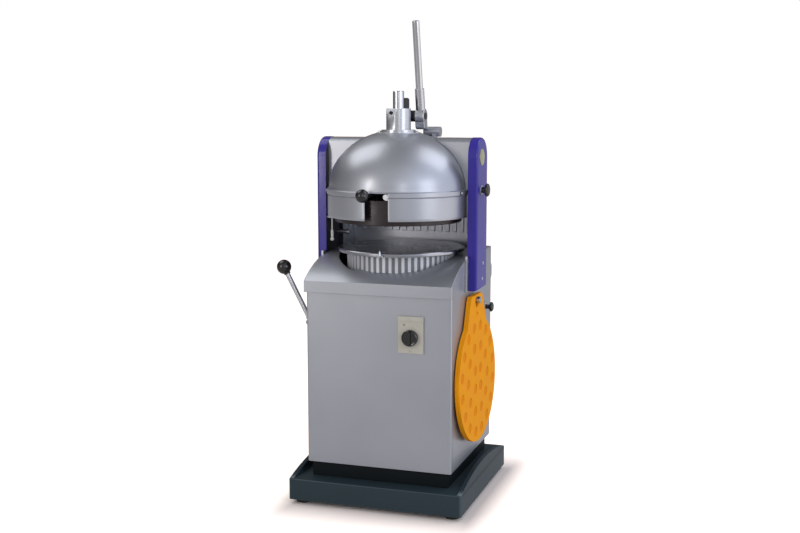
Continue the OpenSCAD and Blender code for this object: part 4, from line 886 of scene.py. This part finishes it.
pin = soften([(0, 0), (8, 0), (8, pin_long - 10), (pin_r, pin_long - 10), (pin_r, pin_long), (0, pin_long)],
             [0, 0, 0.5, 1, 1.5, 0], 5)
piece("guide_pin", [turned(pin, (pin_low[0], *middle("stop_pin")[1:]), (1, 0, 0), 40)], "frame",
      "bright_steel", ["stop_pin"])

# %% [markdown]
# ## The table
# The table is a turned disc with a rounded rim and a small lug that carries a tapered pin.

# %% Table
table_low, table_high = corners("table_disc")
table_r = table_high[0] - TABLE_X
under, over = table_low[2], table_high[2]
LUG_HALF, LUG_IN, LUG_HIGH = 13, 29, 6
top = soften([(0, under), (table_r - 2, under), (table_r, under + 2), (table_r, over - 3.5),
              (table_r - 3.5, over), (0, over)], [0, 1, 1, 2, 2, 0], 5)
lug = rounded_box((TABLE_X - LUG_HALF, table_low[1]), (TABLE_X + LUG_HALF, table_low[1] + LUG_IN),
                  [8, 8, 0.1, 0.1], 6)
piece("table_top", [turned(top, (TABLE_X, TABLE_Y, 0), sides=160),
                    slab(lug, under, under + LUG_HIGH, 1, 1.5, "xy")],
      "table", "polished_steel", ["table_disc"])
tip = soften([(0, 0), (6, 0), (2.2, 15.6), (0, 16)], [0, 0, 1.5, 0], 5)
tip_at = (*middle("locating_pin")[:2], corners("locating_pin")[0][2])
piece("taper_pin", [turned(tip, tip_at, sides=32)], "table", "bright_steel", ["locating_pin"])

# %% [markdown]
# The ring below the table has 54 upright flutes. Its radius is a function of angle and
# height: it drops by the flute's depth inside a flute, with rounded flanks, and keeps a
# plain band at the top. It reaches a little lower than its solid, where the cover hides it.

# %% Fluted ring
def smooth(x):
    """Smooth step: 3 x^2 - 2 x^3 between 0 and 1."""
    x = np.clip(x, 0, 1)
    return x * x * (3 - 2 * x)


FLUTES, FLUTE_HALF, FLANK, RING_WALL = 54, 6.1, 1.8, 14
FLUTE_TOP, FLUTE_RUNOUT = 879, 2.4
ring_foot = ring_low[2] - 12
ring_top = ring_high[2] - 0.2
turn_of = np.linspace(0, 2 * np.pi, FLUTES * 18, endpoint=False)
across = np.abs((turn_of * FLUTES / (2 * np.pi) + 0.5) % 1 - 0.5) * (2 * np.pi * FLUTE_R / FLUTES)
level_of = np.r_[ring_foot + np.array([0, 0.8, 2]),
                 FLUTE_TOP + np.array([-29, -14, -3, -2, -1.3, -0.6, 0, 1]), ring_top - 0.8, ring_top]
bite = FLUTE_DEPTH * smooth((FLUTE_HALF - across) / FLANK)[None]
bite = bite * smooth((FLUTE_TOP - level_of) / FLUTE_RUNOUT)[:, None]
chamfer = np.zeros((len(level_of), 1))
chamfer[[0, -1]] = 1.0
chamfer[[1, -2]] = 0.2
bore = np.full((1, len(turn_of)), FLUTE_R - RING_WALL)
ring_r = np.vstack([bore, FLUTE_R - chamfer - bite, bore, bore])
ring_z = np.r_[ring_foot, level_of, ring_top, ring_foot]
flutes = np.stack([TABLE_X + ring_r * np.cos(turn_of), TABLE_Y + ring_r * np.sin(turn_of),
                   np.broadcast_to(ring_z[:, None], ring_r.shape)], -1)
piece("flute_ring", [flutes], "table", "cast_aluminium", ["fluted_ring"], caps=False, sharp=60)

# %% [markdown]
# ## The press head
# Under the dome hangs a dark ring that closes round the dough. It is a plain tube with
# rounded lips. The latch that lets the knives down ends in a black ball, and so does the
# lever at the cabinet's left side: a ball with a short neck where its rod enters.

# %% Press ring
press_low, press_high = corners("press_ring")
PRESS_WALL, SEAM_UP = 14, 41
press_r = press_high[0]
bore_r = press_r - PRESS_WALL
foot_z, head_z = press_low[2], press_high[2]
lip = soften([(bore_r, foot_z + SEAM_UP), (bore_r, foot_z), (press_r, foot_z), (press_r, head_z),
              (bore_r, head_z), (bore_r, foot_z + SEAM_UP)], [0, 2, 3, 2, 2, 0], 6)
piece("ring_wall", [turned(lip, (0, HEAD_Y, 0), sides=160)], "head", "dark_ring", ["press_ring"], caps=False)

# %% Balls
def ball(radius, neck, neck_length):
    """Profile of a ball: r = R sin a, h = -R cos a, up to a straight neck."""
    a = np.linspace(0, np.pi - math.asin(neck / radius) * 1.12, 30)
    sphere = np.stack([radius * np.sin(a), -radius * np.cos(a)], 1)
    neck_end = radius + neck_length
    return np.vstack([sphere, [(neck, radius - 0.5), (neck, neck_end), (0, neck_end)]])


LATCH_REACH, LATCH_Z = 286, 1095.0
LATCH_SWING = math.radians(-6.9)
inwards = np.array([-math.sin(LATCH_SWING), math.cos(LATCH_SWING), 0.0])
latch_end = np.array([0, HEAD_Y, LATCH_Z]) - LATCH_REACH * inwards
piece("latch_grip", [turned(ball(23, 9.5, 2), latch_end, inwards, 64)], "latch", "black_plastic",
      ["latch_ball"])
ROUND_PIVOT = np.array([-279, -192, 638])
ROUND_LONG = 212
ROUND_LEAN = math.radians(28)
rod = np.array([-math.sin(ROUND_LEAN), 0, math.cos(ROUND_LEAN)])
piece("rounding_grip", [turned(ball(26, 11.5, 3), ROUND_PIVOT + ROUND_LONG * rod, -rod, 64)],
      "round_lever", "black_plastic", ["rounding_ball"])

# %% [markdown]
# ## The press lever
# A forged boss turns on the gear's shaft. Seen from the side it is a round eye with a short
# tail, so its outline is an arc and four rounded corners, carried across. It has a turned
# socket on top, and a chromed tube stands in that. The lever leans 11 degrees towards the
# user.

# %% Lever
boss_low, boss_high = corners("lever_boss")
PIVOT = np.array([middle("lever_boss")[0], 34.5, 1358])
TILT = math.radians(11)
EYE, TAIL_W, TAIL, TAIL_CUT, BOSS_RIM = 26, 20, 46, 8, 2.5
SOCKET_R, SOCKET_BORE, SOCKET_TOP = 16.5, 12.9, 98
TUBE_R, TUBE_TOP = 12.5, 336
along = np.array([0, -math.sin(TILT), math.cos(TILT)])
open_half = math.asin(TAIL_W / EYE)
eye = np.linspace(open_half - np.pi, np.pi - open_half, 60)
tail = soften([(TAIL_W, -17), (TAIL_W, TAIL_CUT - TAIL), (TAIL_W - TAIL_CUT, -TAIL),
               (TAIL_CUT - TAIL_W, -TAIL), (-TAIL_W, TAIL_CUT - TAIL), (-TAIL_W, -17)],
              [0, 4, 4, 4, 4, 0], 5)
eye_side = np.vstack([EYE * np.stack([np.sin(eye), np.cos(eye)], 1), tail])
eye_side = eye_side @ np.array([[math.cos(TILT), math.sin(TILT)], [-math.sin(TILT), math.cos(TILT)]])
socket = soften([(0, 20), (SOCKET_R, 20), (SOCKET_R, SOCKET_TOP), (SOCKET_BORE, SOCKET_TOP),
                 (SOCKET_BORE, SOCKET_TOP - 8), (0, SOCKET_TOP - 8)], [0, 0, 2.5, 0.6, 0, 0], 5)
boss = slab(eye_side + PIVOT[1:], boss_low[0], boss_high[0], BOSS_RIM, BOSS_RIM, "yz")
piece("boss_body", [boss, turned(socket, PIVOT, along, 64)], "press_lever", "bright_steel", ["lever_boss"])
bar = soften([(0, 30), (TUBE_R, 30), (TUBE_R, TUBE_TOP), (0, TUBE_TOP)], [0, 0, 3, 0], 6)
piece("lever_bar", [turned(bar, PIVOT, along, 64)], "press_lever", "chrome", ["lever_tube"])

# %% [markdown]
# ## Knobs and the switch
# The pull knobs are turned like mushrooms: a stem, an undercut and a head with a soft crown.
# Both come from one profile, and their sizes from the boxes of their solids.

# %% Knobs
HEAD_DEEP = 14


def mushroom(radius, stem, length):
    """Profile of a pull knob: a stem, an undercut and a head HEAD_DEEP thick with a soft crown."""
    return soften([(0, 0), (stem, 0), (stem, length - HEAD_DEEP), (radius - 4, length - HEAD_DEEP),
                   (radius, length - 10), (radius, length - 5), (radius - 5, length - 1), (0, length)],
                  [0, 0, 1, 1.5, 2, 3, 5, 0], 6)


for name, body, node, stem, sides in (("column_pull", "knob_column", "column_knob", 11, 64),
                                      ("cabinet_pull", "knob_cabinet", "cabinet_knob", 8.5, 56)):
    low, high = corners(node)
    profile = mushroom((high[2] - low[2]) / 2, stem, high[0] - low[0])
    piece(name, [turned(profile, (low[0], *middle(node)[1:]), (1, 0, 0), sides)], body,
          "black_plastic", [node])

# %% [markdown]
# The switch is a round knob with a bar to grip, and the plate has the two usual signs beside
# it: a ring for off and a stroke for on. The signs are a quarter of a millimetre thick, so
# that they cast no visible shadow.

# %% Switch
dial_x, _, dial_z = middle("switch_knob")
dial_front = corners("switch_knob")[0][1]
DIAL_Y, DIAL_R = -274, 28
GRIP_HALF = np.array([5, 23])
dial = soften([(0, -17), (5, -17), (5, 0), (DIAL_R, 0), (DIAL_R, 14), (DIAL_R - 3, 17),
               (DIAL_R - 7, 16), (0, 16)], [0, 0, 0, 1, 1.5, 1.5, 1, 0], 5)
grip_at = np.array([dial_x, dial_z])
grip = rounded_box(grip_at - GRIP_HALF, grip_at + GRIP_HALF, 4.5, 7)
piece("switch_dial", [turned(dial, (dial_x, DIAL_Y, dial_z), (0, -1, 0), 72),
                      slab(grip, dial_front, dial_front + 8, 2, 0.5, "xz")],
      "switch", "black_plastic", ["switch_knob"])
SIGN_Y, SIGN_Z, SIGN_THICK, SIGN_OUT = -273, 657.5, 0.25, 23
off = [(2.4, 0), (3.6, 0), (3.6, SIGN_THICK), (2.4, SIGN_THICK), (2.4, 0)]
stroke_x = dial_x + SIGN_OUT
stroke = rounded_box((stroke_x - 0.6, SIGN_Z - 3.5), (stroke_x + 0.8, SIGN_Z + 3.5), 0.5, 4)
piece("switch_signs", [turned(off, (dial_x - SIGN_OUT, SIGN_Y, SIGN_Z), (0, -1, 0), 32),
                       slab(stroke, SIGN_Y - SIGN_THICK, SIGN_Y, 0.05, 0, "xz")],
      "frame", "black_plastic", caps=False)

# %% [markdown]
# Last, the view layer is brought up to date.

# %% Finish
bpy.context.view_layer.update()
